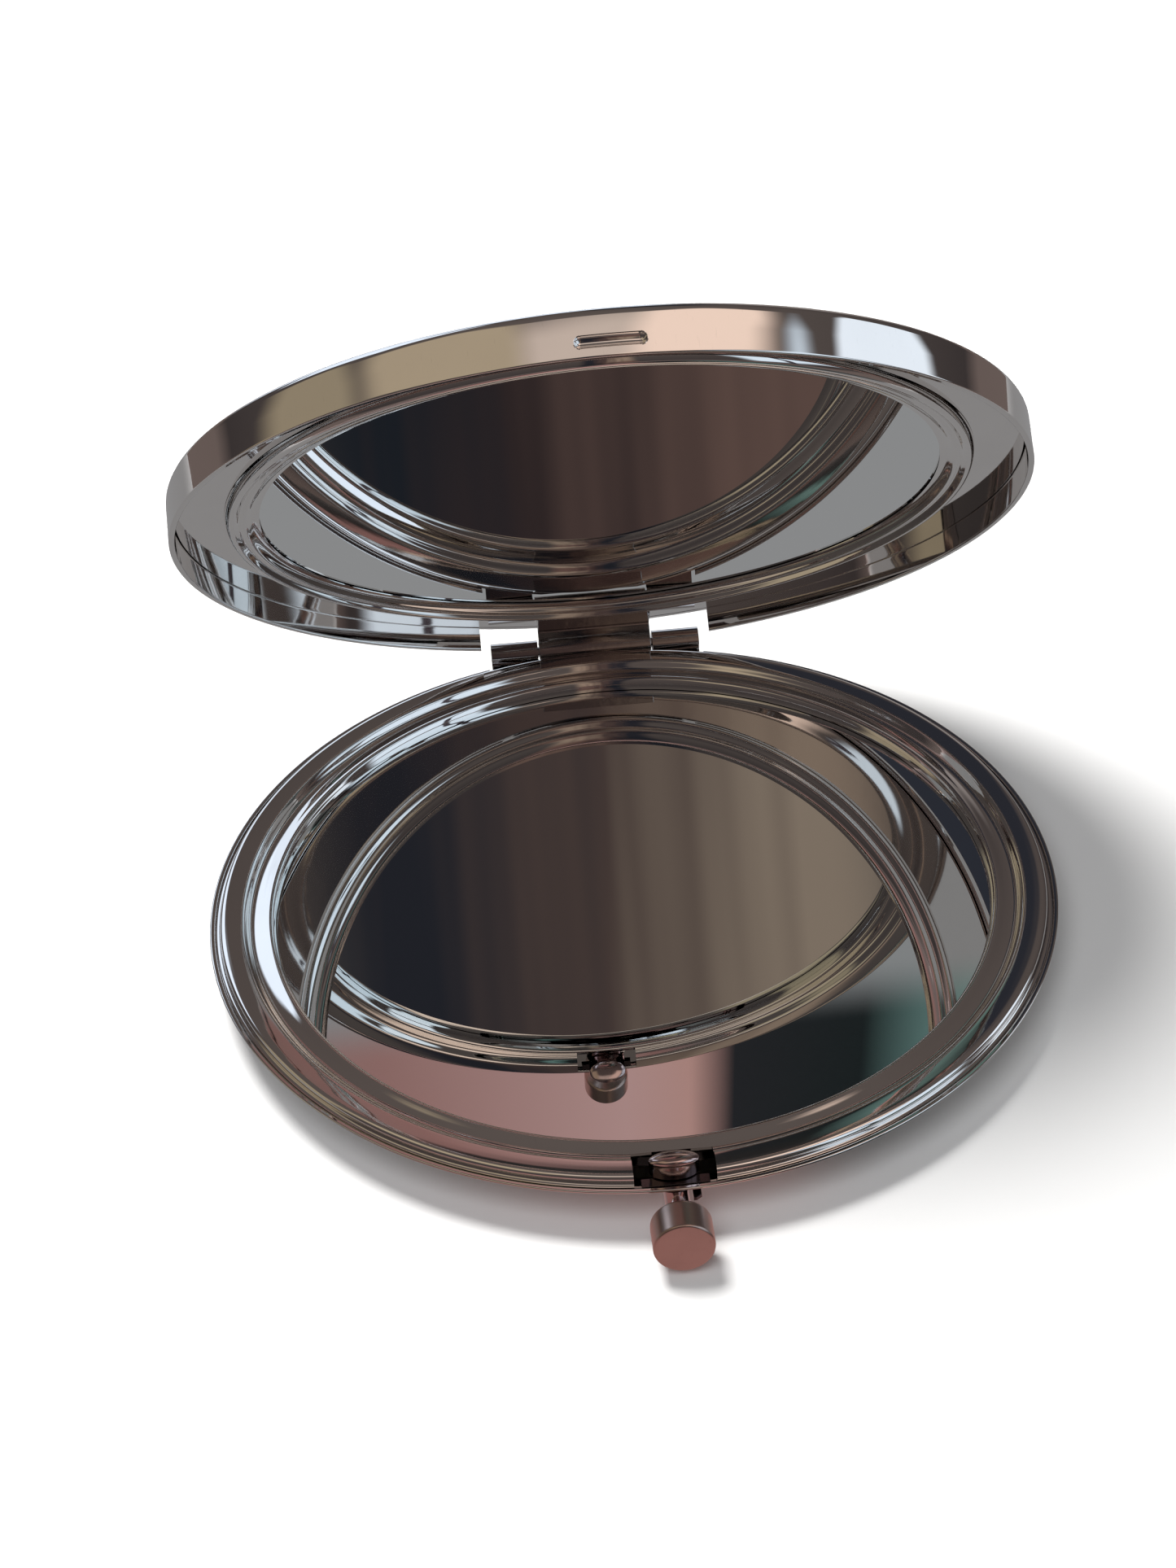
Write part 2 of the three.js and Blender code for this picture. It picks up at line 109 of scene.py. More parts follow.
class HingeSizes(bpy.types.PropertyGroup):
    """Sizes of the rolled hinge"""

    outset: length("Axis outset", "Hinge axis beyond the case radius", 0.37)
    rise: length("Axis rise", "Hinge axis above the meeting plane", 0.17)
    knuckle: length("Knuckle radius", "Outer radius of the rolled knuckles", 1.05)
    bore: length("Bore radius", "Inner radius of the knuckles", 0.5)
    pin: length("Pin radius", "Radius of the hinge pin", 0.45)
    half_width: length("Half width", "Half the length of the whole hinge", 9.4)
    lid_half: length("Lid knuckle half width", "Half the length of the lid's knuckle", 5.05)
    sheet: length("Leaf sheet", "Thickness of the leaves", 0.42)


class CatchSizes(bpy.types.PropertyGroup):
    """Sizes of the push button and catch"""

    drop: length("Button drop", "Button axis below the meeting plane", 1.3)
    stem: length("Stem radius", "Radius of the button's stem", 0.95)
    knob: length("Knob radius", "Radius of the knob", 2.35)
    knob_length: length("Knob length", "Length of the knob", 3.7)
    head_half: length("Head half width", "Half the width of the domed catch head", 1.95)
    head_depth: length("Head half depth", "Half the depth of the domed catch head", 1.25)
    head_tip: length("Head tip", "Distance of the catch's nose from the middle", 34.25)
    head_rise: length("Head rise", "Middle of the dome above the meeting plane", 1.22)


class Finishes(bpy.types.PropertyGroup):
    """Colours of the metals, glass, foam and floor"""

    shell: colour("Shell plating", "Polished plate of the shells", (0.78, 0.75, 0.73))
    rim: colour("Rim plating", "Polished plate of the pressed rims", (0.8, 0.77, 0.75))
    button: colour("Button plating", "Warm worn plate of the button", (0.51, 0.39, 0.35))
    catch: colour("Catch plating", "Rosy plate of the catch and stem", (0.6, 0.46, 0.45))
    hinge: colour("Hinge metal", "Dark plate of the hinge", (0.5, 0.47, 0.46))
    # The spring strip's colour is near black: painted shade, so the guide plate made of it sinks
    # into the shade of the catch's notch.
    spring: colour("Spring strip", "Spring strip darkened as painted shade", (0.1, 0.09, 0.095))
    silver: colour("Silvering", "Silver behind the glass", (0.86, 0.88, 0.88))
    foam: colour("Foam", "Foam tape behind the glass", (0.86, 0.84, 0.8))
    floor: colour("Floor", "Pale floor", (0.86, 0.86, 0.86))


class StudioSizes(bpy.types.PropertyGroup):
    """Camera and lamps"""

    azimuth: angle("Azimuth", "Camera's turn from the front", -2.91)
    elevation: angle("Elevation", "Camera's height angle", 37.68)
    roll: angle("Roll", "Camera's roll", -3.32)
    distance: length("Distance", "Camera to the middle of the base", 292.25)
    aside: length("Aside", "Camera's step along its own right", -3.67, least=-1.0)
    above: length("Above", "Camera's step along its own up", 9.18, least=-1.0)
    lens: FloatProperty(name="Lens", description="Focal length in millimetres", default=81.05)
    key_power: FloatProperty(
        name="Key lamp", description="Power of the lamp behind on the left, in watts", default=3.1,
    )
    fill_power: FloatProperty(
        name="Fill lamp", description="Power of the lamp in front, in watts", default=0.8,
    )


# Meshes


def in_mm(group):
    """A group's values by name, its lengths in millimetres."""
    units = group.bl_rna.properties
    return SimpleNamespace(**{
        key: getattr(group, key) / MM if units[key].unit == "LENGTH" else getattr(group, key)
        for key in group.__annotations__
    })


def sizes(scene):
    """The values of case, hinge and catch, in millimetres."""
    return in_mm(scene.compact_case), in_mm(scene.compact_hinge), in_mm(scene.compact_catch)


def arc(centre, radius, start, end, steps):
    """Points round a circle between two angles in degrees."""
    points = []
    for i in range(steps + 1):
        angle = math.radians(start + (end - start) * i / steps)
        points.append((centre[0] + radius * math.cos(angle), centre[1] + radius * math.sin(angle)))
    return points


# A point this far from a fillet holds the flat beside it flat when faces are shaded smooth.
HOLD = 0.03


def rounded(corners, steps=6):
    """An outline whose corners (x, y, fillet) are rounded; a fillet of 0 keeps the corner."""
    points = []
    count = len(corners)
    for i, (x, y, fillet) in enumerate(corners):
        here = Vector((x, y))
        before = Vector(corners[i - 1][:2]) - here
        after = Vector(corners[(i + 1) % count][:2]) - here
        if fillet <= 0 or before.length < 1e-6 or after.length < 1e-6:
            points.append((x, y))
            continue
        half = before.angle(after) / 2
        back = min(fillet / math.tan(half), before.length * 0.46, after.length * 0.46)
        start = here + before.normalized() * back
        end = here + after.normalized() * back
        spots = [start + before.normalized() * min(HOLD, before.length * 0.03)]
        for k in range(steps + 1):
            t = k / steps
            spots.append(start * (1 - t) ** 2 + here * 2 * t * (1 - t) + end * t ** 2)
        spots.append(end + after.normalized() * min(HOLD, after.length * 0.03))
        points.extend((spot.x, spot.y) for spot in spots)
    return points


def through(knots, steps=6):
    """A smooth curve through the knots, by centripetal Catmull-Rom pieces."""
    ends = [Vector(k) for k in knots]
    ends = [ends[0] * 2 - ends[1], *ends, ends[-1] * 2 - ends[-2]]
    points = []
    for p0, p1, p2, p3 in zip(ends, ends[1:], ends[2:], ends[3:]):
        t1 = math.sqrt((p1 - p0).length)
        t2 = t1 + math.sqrt((p2 - p1).length)
        t3 = t2 + math.sqrt((p3 - p2).length)
        for k in range(steps):
            t = t1 + (t2 - t1) * k / steps
            a1 = p0 * ((t1 - t) / t1) + p1 * (t / t1)
            a2 = p1 * ((t2 - t) / (t2 - t1)) + p2 * ((t - t1) / (t2 - t1))
            a3 = p2 * ((t3 - t) / (t3 - t2)) + p3 * ((t - t2) / (t3 - t2))
            b1 = a1 * ((t2 - t) / t2) + a2 * (t / t2)
            b2 = a2 * ((t3 - t) / (t3 - t1)) + a3 * ((t - t1) / (t3 - t1))
            spot = b1 * ((t2 - t) / (t2 - t1)) + b2 * ((t - t1) / (t2 - t1))
            points.append((spot.x, spot.y))
    points.append(tuple(knots[-1]))
    return points


def back_of(face, sheet):
    """The other side of a pressed sheet: its face moved square to itself by the thickness."""
    moved = []
    for i, point in enumerate(face):
        before = Vector(face[max(i - 1, 0)])
        after = Vector(face[min(i + 1, len(face) - 1)])
        run = (after - before).normalized()
        moved.append((point[0] - run.y * sheet, point[1] + run.x * sheet))
    return moved


def finish_mesh(name, bm, sharp=40.0):
    """Turns a bmesh into an object with smooth faces and sharp edges past an angle."""
    bmesh.ops.remove_doubles(bm, verts=bm.verts, dist=1e-8)
    bmesh.ops.recalc_face_normals(bm, faces=bm.faces)
    mesh = bpy.data.meshes.new(name)
    bm.to_mesh(mesh)
    bm.free()
    for polygon in mesh.polygons:
        polygon.use_smooth = True
    mesh.set_sharp_from_angle(angle=math.radians(sharp))
    piece = bpy.data.objects.new(name, mesh)
    bpy.context.scene.collection.objects.link(piece)
    return piece


def even_angles(count):
    return [2 * math.pi * i / count for i in range(count)]


def angles_fine_at(count, centre, spread, fine_count):
    """Even angles, with finer ones within the spread round a centre, all in radians."""
    fine = [centre - spread + 2 * spread * i / fine_count for i in range(fine_count + 1)]
    def away(angle):
        return abs((angle - centre + math.pi) % (2 * math.pi) - math.pi)
    coarse = [a for a in even_angles(count) if away(a) > spread * 1.001]
    return sorted(a % (2 * math.pi) for a in coarse + fine)


def lathe(name, outline, angles, sharp=40.0):
    """A body turned about Z from a closed outline in millimetres, at angles or a count of them."""
    if isinstance(angles, int):
        angles = even_angles(angles)
    bm = bmesh.new()
    rings = []
    for r, z in outline:
        if r < 1e-6:
            rings.append([bm.verts.new((0, 0, z * MM))] * len(angles))
        else:
            rings.append(
                [bm.verts.new((r * math.cos(a) * MM, r * math.sin(a) * MM, z * MM)) for a in angles]
            )
    count = len(angles)
    for i, ring in enumerate(rings):
        after = rings[(i + 1) % len(rings)]
        if ring[0] is ring[-1] and after[0] is after[-1]:
            continue
        for k in range(count):
            m = (k + 1) % count
            corners = [ring[k], ring[m], after[m], after[k]]
            unique = list(dict.fromkeys(corners))
            if len(unique) >= 3:
                bm.faces.new(unique)
    return finish_mesh(name, bm, sharp)


def extrude(name, outline, start, end, axis="X", sharp=40.0):
    """A closed outline in millimetres drawn out: (Y, Z) along X, or (X, Y) along Z."""
    def place(point, along):
        if axis == "X":
            return Vector((along, point[0], point[1])) * MM
        return Vector((point[0], point[1], along)) * MM
    bm = bmesh.new()
    near = [bm.verts.new(place(p, start)) for p in outline]
    far = [bm.verts.new(place(p, end)) for p in outline]
    bm.faces.new(near)
    bm.faces.new(list(reversed(far)))
    for i, corner in enumerate(near):
        j = (i + 1) % len(near)
        bm.faces.new([corner, far[i], far[j], near[j]])
    return finish_mesh(name, bm, sharp)


def block(name, x, y, z):
    """A plain block in millimetres, for cutting or joining."""
    return extrude(name, [(x[0], y[0]), (x[1], y[0]), (x[1], y[1]), (x[0], y[1])], z[0], z[1], "Z")


def plain_mesh(piece):
    """Replaces a piece's mesh by what its modifiers make of it."""
    graph = bpy.context.evaluated_depsgraph_get()
    made = bpy.data.meshes.new_from_object(piece.evaluated_get(graph), depsgraph=graph)
    piece.modifiers.clear()
    old = piece.data
    piece.data = made
    made.name = old.name
    bpy.data.meshes.remove(old)


def combine(piece, others, how, sharp=40.0):
    """Cuts other pieces from this one or joins them to it, and removes them."""
    for other in others:
        step = piece.modifiers.new("combine", "BOOLEAN")
        step.operation = how
        step.solver = "EXACT"
        step.object = other
    bpy.context.view_layer.update()
    plain_mesh(piece)
    for other in others:
        bpy.data.objects.remove(other)
    for polygon in piece.data.polygons:
        polygon.use_smooth = True
    piece.data.set_sharp_from_angle(angle=math.radians(sharp))
    return piece


def soften(piece, width, segments=3, angle=35.0):
    """Rounds a piece's sharp edges by a width in millimetres."""
    step = piece.modifiers.new("soften", "BEVEL")
    step.width = width * MM
    step.segments = segments
    step.limit_method = "ANGLE"
    step.angle_limit = math.radians(angle)
    step.harden_normals = True
    bpy.context.view_layer.update()
    plain_mesh(piece)
    return piece


def about_y(piece, z):
    """Lays a body turned about Z along -Y, with its axis at a height in millimetres."""
    piece.data.transform(Matrix.Translation((0, 0, z * MM)) @ Matrix.Rotation(math.pi / 2, 4, "X"))
    return piece


def hinge_axis(case, hinge):
    """Y and Z of the hinge's axis in millimetres."""
    return case.radius + hinge.outset, case.base_depth + hinge.rise


def lid_lip(case):
    """Height of the lid's lip when shut, in millimetres."""
    return case.base_depth + case.lip_gap


def swing_open(piece, case, hinge):
    """Turns a piece made with the lid shut to where it stands at rest."""
    y, z = hinge_axis(case, hinge)
    centre = Vector((0, y, z)) * MM
    turn = Matrix.Rotation(-case.open_angle, 4, "X")
    piece.data.transform(Matrix.Translation(centre) @ turn @ Matrix.Translation(-centre))
    return piece


def settle(piece, body, slot, material, *nodes):
    """Gives a finished piece its material and body, and hides the nodes that it stands for. The
    slot is not used.
    """
    piece.data.materials.clear()
    piece.data.materials.append(material)
    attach(piece, body)
    if nodes:
        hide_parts(*nodes)
    return piece


# Shader node groups, each built once


def node(tree, kind, values=None, **settings):
    """A shader node of a kind, with values for its inputs and settings of its own."""
    made = tree.nodes.new("ShaderNode" + kind)
    for key, value in settings.items():
        setattr(made, key, value)
    for key, value in (values or {}).items():
        made.inputs[key].default_value = value
    return made


def wire(tree, *links):
    """Links nodes; each link is (node, output, node, input)."""
    for source, output, target, entry in links:
        tree.links.new(source.outputs[output], target.inputs[entry])


def soft_step(tree, values):
    """A smooth run from one value to another, flat before and after."""
    return node(tree, "MapRange", values, interpolation_type="SMOOTHSTEP")


def new_group(name, inputs, outputs):
    """A new node group with its input and output nodes, from (label, kind, default) rows."""
    tree = bpy.data.node_groups.new(name, "ShaderNodeTree")
    for label, kind, default in inputs:
        socket = tree.interface.new_socket(
            name=label, in_out="INPUT", socket_type="NodeSocket" + kind,
        )
        socket.default_value = default
    for label, kind in outputs:
        tree.interface.new_socket(name=label, in_out="OUTPUT", socket_type="NodeSocket" + kind)
    return tree, tree.nodes.new("NodeGroupInput"), tree.nodes.new("NodeGroupOutput")


def plating_group():
    """Polished plate: slight tint shift, handling haze, hairlines and a faint orange-peel wave."""
    name = "Polished plate"
    if name in bpy.data.node_groups:
        return bpy.data.node_groups[name]
    tree, given, out = new_group(
        name,
        [
            ("Plate", "Color", (0.8, 0.8, 0.8, 1)),
            ("Dull", "Color", (0.6, 0.6, 0.6, 1)),
            ("Haze", "Float", 0.5), ("Polish", "Float", 0.05), ("Wear", "Float", 0.12),
            ("Wave size", "Float", 400.0),
        ],
        [("Color", "Color"), ("Roughness", "Float"), ("Height", "Float")],
    )
    place = node(tree, "TexCoord")
    haze = node(tree, "TexNoise", {"Scale": 70.0, "Detail": 6.0, "Roughness": 0.62})
    haze_range = node(tree, "MapRange", {"From Min": 0.42, "From Max": 0.72})
    hair_place = node(tree, "Mapping", {"Scale": (900.0, 60.0, 200.0)})
    hair = node(tree, "TexNoise", {"Scale": 6.0, "Detail": 3.0})
    hair_range = node(tree, "MapRange", {"From Min": 0.66, "From Max": 0.74})
    mask = node(tree, "Math", operation="MULTIPLY")
    both = node(tree, "Math", {1: 0.35}, operation="MULTIPLY_ADD", use_clamp=True)
    tint = node(tree, "Mix", data_type="RGBA")
    rough = node(tree, "MapRange")
    wave = node(tree, "TexNoise", {"Detail": 2.0})
    wire(
        tree, (place, "Object", haze, "Vector"), (place, "Object", hair_place, "Vector"),
        (place, "Object", wave, "Vector"), (given, "Wave size", wave, "Scale"),
        (hair_place, "Vector", hair, "Vector"), (haze, "Fac", haze_range, "Value"),
        (hair, "Fac", hair_range, "Value"), (haze_range, "Result", mask, 0),
        (given, "Haze", mask, 1), (hair_range, "Result", both, 0), (mask, "Value", both, 2),
        (both, "Value", tint, "Factor"), (given, "Plate", tint, "A"), (given, "Dull", tint, "B"),
        (both, "Value", rough, "Value"), (given, "Polish", rough, "To Min"),
        (given, "Wear", rough, "To Max"), (tint, "Result", out, "Color"),
        (rough, "Result", out, "Roughness"), (wave, "Fac", out, "Height"),
    )
    return tree


def grain_group():
    """Fine grain of foam and mottling of foam or floor: a colour mask and a height."""
    name = "Fine grain"
    if name in bpy.data.node_groups:
        return bpy.data.node_groups[name]
    tree, given, out = new_group(
        name,
        [("Grain size", "Float", 1500.0), ("Mottle size", "Float", 90.0)],
        [("Mottle", "Float"), ("Height", "Float")],
    )
    place = node(tree, "TexCoord")
    cells = node(tree, "TexVoronoi")
    mottle = node(tree, "TexNoise", {"Detail": 4.0})
    wire(
        tree, (place, "Object", cells, "Vector"), (place, "Object", mottle, "Vector"),
        (given, "Grain size", cells, "Scale"), (given, "Mottle size", mottle, "Scale"),
        (mottle, "Fac", out, "Mottle"), (cells, "Distance", out, "Height"),
    )
    return tree


def patch_group():
    """A soft-edged patch of light on the studio wall, seen in one direction from the middle."""
    name = "Light patch"
    if name in bpy.data.node_groups:
        return bpy.data.node_groups[name]
    tree, given, out = new_group(
        name,
        [
            ("Below", "Color", (0, 0, 0, 1)),
            ("Light", "Color", (1, 1, 1, 1)),
            ("Direction", "Vector", (0, 0, 1)),
            ("Across", "Vector", (1, 0, 0)),
            ("Half width", "Float", 0.2), ("Half height", "Float", 0.2),
            ("Soft edge", "Float", 0.1),
        ],
        [("Color", "Color")],
    )
    place = node(tree, "TexCoord")
    ray = node(tree, "VectorMath", operation="NORMALIZE")
    up_axis = node(tree, "VectorMath", operation="CROSS_PRODUCT")
    wire(
        tree, (place, "Object", ray, 0), (given, "Direction", up_axis, 0),
        (given, "Across", up_axis, 1),
    )
    dots = []
    for source, output in ((given, "Direction"), (given, "Across"), (up_axis, "Vector")):
        dot = node(tree, "VectorMath", operation="DOT_PRODUCT")
        wire(tree, (ray, "Vector", dot, 0), (source, output, dot, 1))
        dots.append(dot)
    facing, side, rise = dots
    fades = []
    for dot, half in ((side, "Half width"), (rise, "Half height")):
        size = node(tree, "Math", operation="ABSOLUTE")
        inner = node(tree, "Math", operation="SUBTRACT")
        fade = soft_step(tree, {"To Min": 1.0, "To Max": 0.0})
        wire(
            tree, (dot, "Value", size, 0), (given, half, inner, 0), (given, "Soft edge", inner, 1),
            (size, "Value", fade, "Value"), (inner, "Value", fade, "From Min"),
            (given, half, fade, "From Max"),
        )
        fades.append(fade)
    front = node(tree, "Math", {1: 0.0}, operation="GREATER_THAN")
    both = node(tree, "Math", operation="MULTIPLY")
    seen = node(tree, "Math", operation="MULTIPLY")
    lay = node(tree, "Mix", data_type="RGBA")
    wire(
        tree, (facing, "Value", front, 0), (fades[0], "Result", both, 0),
        (fades[1], "Result", both, 1), (both, "Value", seen, 0), (front, "Value", seen, 1),
        (seen, "Value", lay, "Factor"), (given, "Below", lay, "A"), (given, "Light", lay, "B"),
        (lay, "Result", out, "Color"),
    )
    return tree


# Materials


def new_material(name):
    """A material with its Principled BSDF, or the one already made."""
    if name in bpy.data.materials:
        return bpy.data.materials[name], None, None
    material = bpy.data.materials.new(name)
    material.use_nodes = True
    return material, material.node_tree, material.node_tree.nodes["Principled BSDF"]


def solid(value, share=1.0):
    return (value[0] * share, value[1] * share, value[2] * share, 1.0)


# Plated metals by the name of their colour: material, share of the tint in dull spots, haze,
# roughness of clean and of worn spots, scale of the surface wave and its height in metres.
PLATES = {
    "shell": ("shell_plating", 0.88, 0.35, 0.03, 0.08, 180.0, 3e-6),
    "rim": ("rim_plating", 0.88, 0.4, 0.03, 0.08, 300.0, 2e-6),
    "button": ("button_plating", 0.78, 0.8, 0.28, 0.4, 900.0, 6e-6),
    "catch": ("catch_plating", 0.8, 0.6, 0.13, 0.24, 900.0, 4e-6),
    "hinge": ("hinge_plating", 0.65, 0.6, 0.045, 0.14, 1200.0, 3e-6),
    "spring": ("spring_blacking", 0.75, 0.6, 0.1, 0.22, 1200.0, 3e-6),
    "silver": ("glass_silvering", 0.97, 0.25, 0.0, 0.02, 60.0, 4e-7),
}


def plated(scene, metal):
    """One of the plated metals."""
    name, dull, haze, polish, wear, wave_scale, wave_height = PLATES[metal]
    tint = getattr(scene.compact_finishes, metal)
    material, tree, shader = new_material(name)
    if tree is None:
        return material
    plate = node(tree, "Group", {
        "Plate": solid(tint), "Dull": solid(tint, dull), "Haze": haze, "Polish": polish,
        "Wear": wear, "Wave size": wave_scale,
    }, node_tree=plating_group())
    bump = node(tree, "Bump", {"Strength": 1.0, "Distance": wave_height})
    wire(
        tree, (plate, "Color", shader, "Base Color"), (plate, "Roughness", shader, "Roughness"),
        (plate, "Height", bump, "Height"), (bump, "Normal", shader, "Normal"),
    )
    shader.inputs["Metallic"].default_value = 1.0
    return material


def foam_tape(scene):
    material, tree, shader = new_material("foam_tape")
    if tree is None:
        return material
    tint = scene.compact_finishes.foam
    grain = node(tree, "Group", node_tree=grain_group())
    tone = node(tree, "Mix", {"A": solid(tint, FOAM_DARK), "B": solid(tint)}, data_type="RGBA")
    bump = node(tree, "Bump", {"Strength": 0.6, "Distance": 0.00006})
    wire(
        tree, (grain, "Mottle", tone, "Factor"), (tone, "Result", shader, "Base Color"),
        (grain, "Height", bump, "Height"), (bump, "Normal", shader, "Normal"),
    )
    shader.inputs["Roughness"].default_value = 0.95
    return material


# Outlines that more than one piece needs


BOWL_STOP = 0.15
REBATE_DROP = 0.35
REBATE_WIDTH = 0.9
REBATE_ROUND = 0.02
LIP_ROUND = 0.15
LIP_OUTER_ROUND = LIP_ROUND * 1.3
HINGE_CLEARANCE = 0.15
CUT_OVERRUN = 3.0
SEAT_GAP = 0.05
FRONT = 1.5 * math.pi
HOLE_SIDES = 64
EAR_SLOT_GAP = 0.1


def bowl_arc(case, inset, end_radius, steps=28):
    """The bowl from the edge of its flat bottom to a radius, offset inwards."""
    width = case.bowl_width
    rise = case.base_depth - BOWL_STOP
    side = width / math.sin(2 * math.atan(rise / width))
    flat = case.radius - width
    end = math.degrees(math.asin((end_radius - flat) / (side - inset)))
    return arc((flat, side), side - inset, -90, -90 + end, steps)


class ShellMaker(bpy.types.Operator):
    """Makes the base's pressed bowl with its round lip, hinge notch and button hole"""

    bl_idname = "compact.base_shell"
    bl_label = "Base Shell"

    def execute(self, context):
        scene = context.scene
        case, hinge, catch = sizes(scene)
        radius = case.radius
        ledge = case.base_depth
        sheet = case.sheet
        inner = radius - case.lip_width
        lip = rounded([
            (radius, ledge - LIP_ROUND * 2, 0.0),
            (radius, ledge, LIP_OUTER_ROUND),
            (inner, ledge, LIP_ROUND),
            (inner, ledge - REBATE_DROP, REBATE_ROUND),
            (radius - REBATE_WIDTH, ledge - REBATE_DROP, 0.0),
        ])[1:]
        bowl = bowl_arc(case, 0, radius)
        back = bowl_arc(case, sheet, radius - REBATE_WIDTH)
        outline = [(0, 0), *bowl, *lip[1:-1], *reversed(back), (0, sheet)]
        piece = lathe("base_shell_skin", outline, case.sides)
        y, z = hinge_axis(case, hinge)
        knuckle = hinge.knuckle
        half = hinge.half_width + HINGE_CLEARANCE * 2
        near = y - knuckle - BASE_LEAF_REACH - HINGE_CLEARANCE
        notch = block(
            "hinge_notch", (-half, half), (near, y + CUT_OVERRUN),
            (z - knuckle - HINGE_CLEARANCE, ledge + CUT_OVERRUN),
        )
        hole_radius = catch.stem + STEM_CLEARANCE
        hole = lathe(
            "button_hole",
            [(0, radius - CUT_OVERRUN * 2), (hole_radius, radius - CUT_OVERRUN * 2),
             (hole_radius, radius + CUT_OVERRUN), (0, radius + CUT_OVERRUN)],
            HOLE_SIDES,
        )
        about_y(hole, ledge - catch.drop)
        slot = block(
            "ear_slot", (0, EAR_OUTER + EAR_SLOT_GAP),
            (-radius - CUT_OVERRUN, -radius + CUT_OVERRUN),
            (ledge - EAR_DROP - EAR_SHEET - EAR_SLOT_GAP, ledge - REBATE_DROP - SEAT_GAP),
        )
        combine(piece, [notch, hole, slot], "DIFFERENCE")
        settle(piece, "base", "shell_chrome", plated(scene, "shell"), "base_shell")
        return {"FINISHED"}


# The frame's face from its foot in the rebate over the land, valley and bead to the glass: radius
# from the middle, height above the plane where base and lid meet.
FRAME_FOOT = [(34.45, -0.05), (34.26, -0.05)]
FRAME_CURVE = [
    (34.14, 0.02), (34.12, 0.14), (34.12, 0.3), (34.08, 0.47), (33.97, 0.61), (33.8, 0.69),
    (33.55, 0.72), (33.2, 0.74), (32.8, 0.757), (32.45, 0.765), (32.3, 0.755), (32.17, 0.71),
    (32.06, 0.62), (31.95, 0.49), (31.84, 0.35), (31.73, 0.23), (31.6, 0.155), (31.45, 0.125),
    (31.3, 0.13), (31.1, 0.16), (30.9, 0.21), (30.65, 0.29), (30.4, 0.39), (30.22, 0.46),
    (30.08, 0.5), (29.93, 0.505), (29.8, 0.455), (29.7, 0.36), (29.62, 0.23), (29.55, 0.09),
    (29.5, -0.08), (29.46, -0.25), (29.45, -0.49),
]
FRAME_SHEET = 0.25
NOTCH_HALF = 3.15
NOTCH_INNER = 30.9


class FrameMaker(bpy.types.Operator):
    """Makes the base's pressed inner frame: land, valley, bead and the wall round the glass"""

    bl_idname = "compact.base_frame"
    bl_label = "Base Inner Frame"

    def execute(self, context):
        scene = context.scene
        case, hinge, _ = sizes(scene)
        ledge = case.base_depth
        radius = case.radius
        face = [*FRAME_FOOT, *through(FRAME_CURVE, 5)]
        face = [(r, z + ledge) for r, z in face]
        outline = [*face, *reversed(back_of(face, FRAME_SHEET))]
        piece = lathe("base_inner_frame_skin", outline, case.sides, sharp=50.0)
        under = ledge - CUT_OVERRUN
        notch = block(
            "latch_notch", (-NOTCH_HALF, NOTCH_HALF), (-radius - CUT_OVERRUN, -NOTCH_INNER),
            (under, ledge + CUT_OVERRUN),
        )
        y, _ = hinge_axis(case, hinge)
        half = hinge.half_width + HINGE_CLEARANCE
        near = y - hinge.knuckle - HINGE_CLEARANCE
        back = block(
            "hinge_relief", (-half, half), (near, y + CUT_OVERRUN), (under, ledge + CUT_OVERRUN),
        )
        combine(piece, [notch, back], "DIFFERENCE", sharp=50.0)
        settle(piece, "base", "frame_chrome", plated(scene, "rim"), "base_inner_frame")
        return {"FINISHED"}


GLASS_SHEET = 1.1
LID_GLASS_SHEET = 1.0
GLASS_BEVEL = 0.12
LID_PAD_INSET = 2.4
FOAM_ROUND = 0.45
FOAM_SWAY = 0.002
FOAM_DARK = 0.88


def glass_disc(name, radius, bottom, top, sides):
    outline = rounded([
        (0, bottom, 0.0), (radius, bottom, GLASS_BEVEL), (radius, top, GLASS_BEVEL), (0, top, 0.0),
    ], 3)
    return lathe(name, outline, sides, sharp=20.0)


def foam_disc(name, radius, bottom, top, sides):
    """Foam tape: a disc with a soft, slightly uneven edge."""
    edge = (top - bottom) * FOAM_ROUND
    outline = rounded([
        (0, bottom, 0.0), (radius * 0.5, bottom, 0.0), (radius, bottom, edge),
        (radius, top, edge), (radius * 0.5, top, 0.0), (0, top, 0.0),
    ])
    piece = lathe(name, outline, sides, sharp=60.0)
    for vertex in piece.data.vertices:
        angle = math.atan2(vertex.co.y, vertex.co.x)
        sway = 1 - FOAM_SWAY * (1 + math.sin(7 * angle) * math.cos(3 * angle + 1))
        vertex.co.x *= sway
        vertex.co.y *= sway
    return piece


class BaseMirrorMaker(bpy.types.Operator):
    """Makes the base glass and the foam tape under it"""

    bl_idname = "compact.base_mirror"
    bl_label = "Base Mirror"

    def execute(self, context):
        scene = context.scene
        case, _, _ = sizes(scene)
        top = case.base_depth - case.glass_drop
        bottom = top - GLASS_SHEET
        glass = glass_disc("base_mirror_glass", case.base_glass, bottom, top, case.sides)
        settle(glass, "base", "mirror_glass", plated(scene, "silver"), "base_mirror")
        flat = case.radius - case.bowl_width
        pad = foam_disc(
            "base_mirror_foam", flat, case.sheet + SEAT_GAP, bottom - SEAT_GAP, case.sides // 2,
        )
        settle(pad, "base", "foam_pad", foam_tape(scene), "base_mirror_pad")
        return {"FINISHED"}


BASE_LEAF_REACH = 1.5
LID_LEAF_REACH = 3.2
LEAF_BEND = 0.6
KNUCKLE_GAP = 0.15
LEAF_EDGE = 0.05
PIN_DOME = 0.18
PIN_SIDES = 48
# Degrees round the hinge axis from where each leaf is rolled to its end, outside and in the bore.
BASE_ROLL = (-90, 200)
BASE_BORE = (-104, 200)
LID_ROLL = (180, 455)
LID_BORE = (196, 455)
ROLL_STEPS = 44
BORE_STEPS = 40
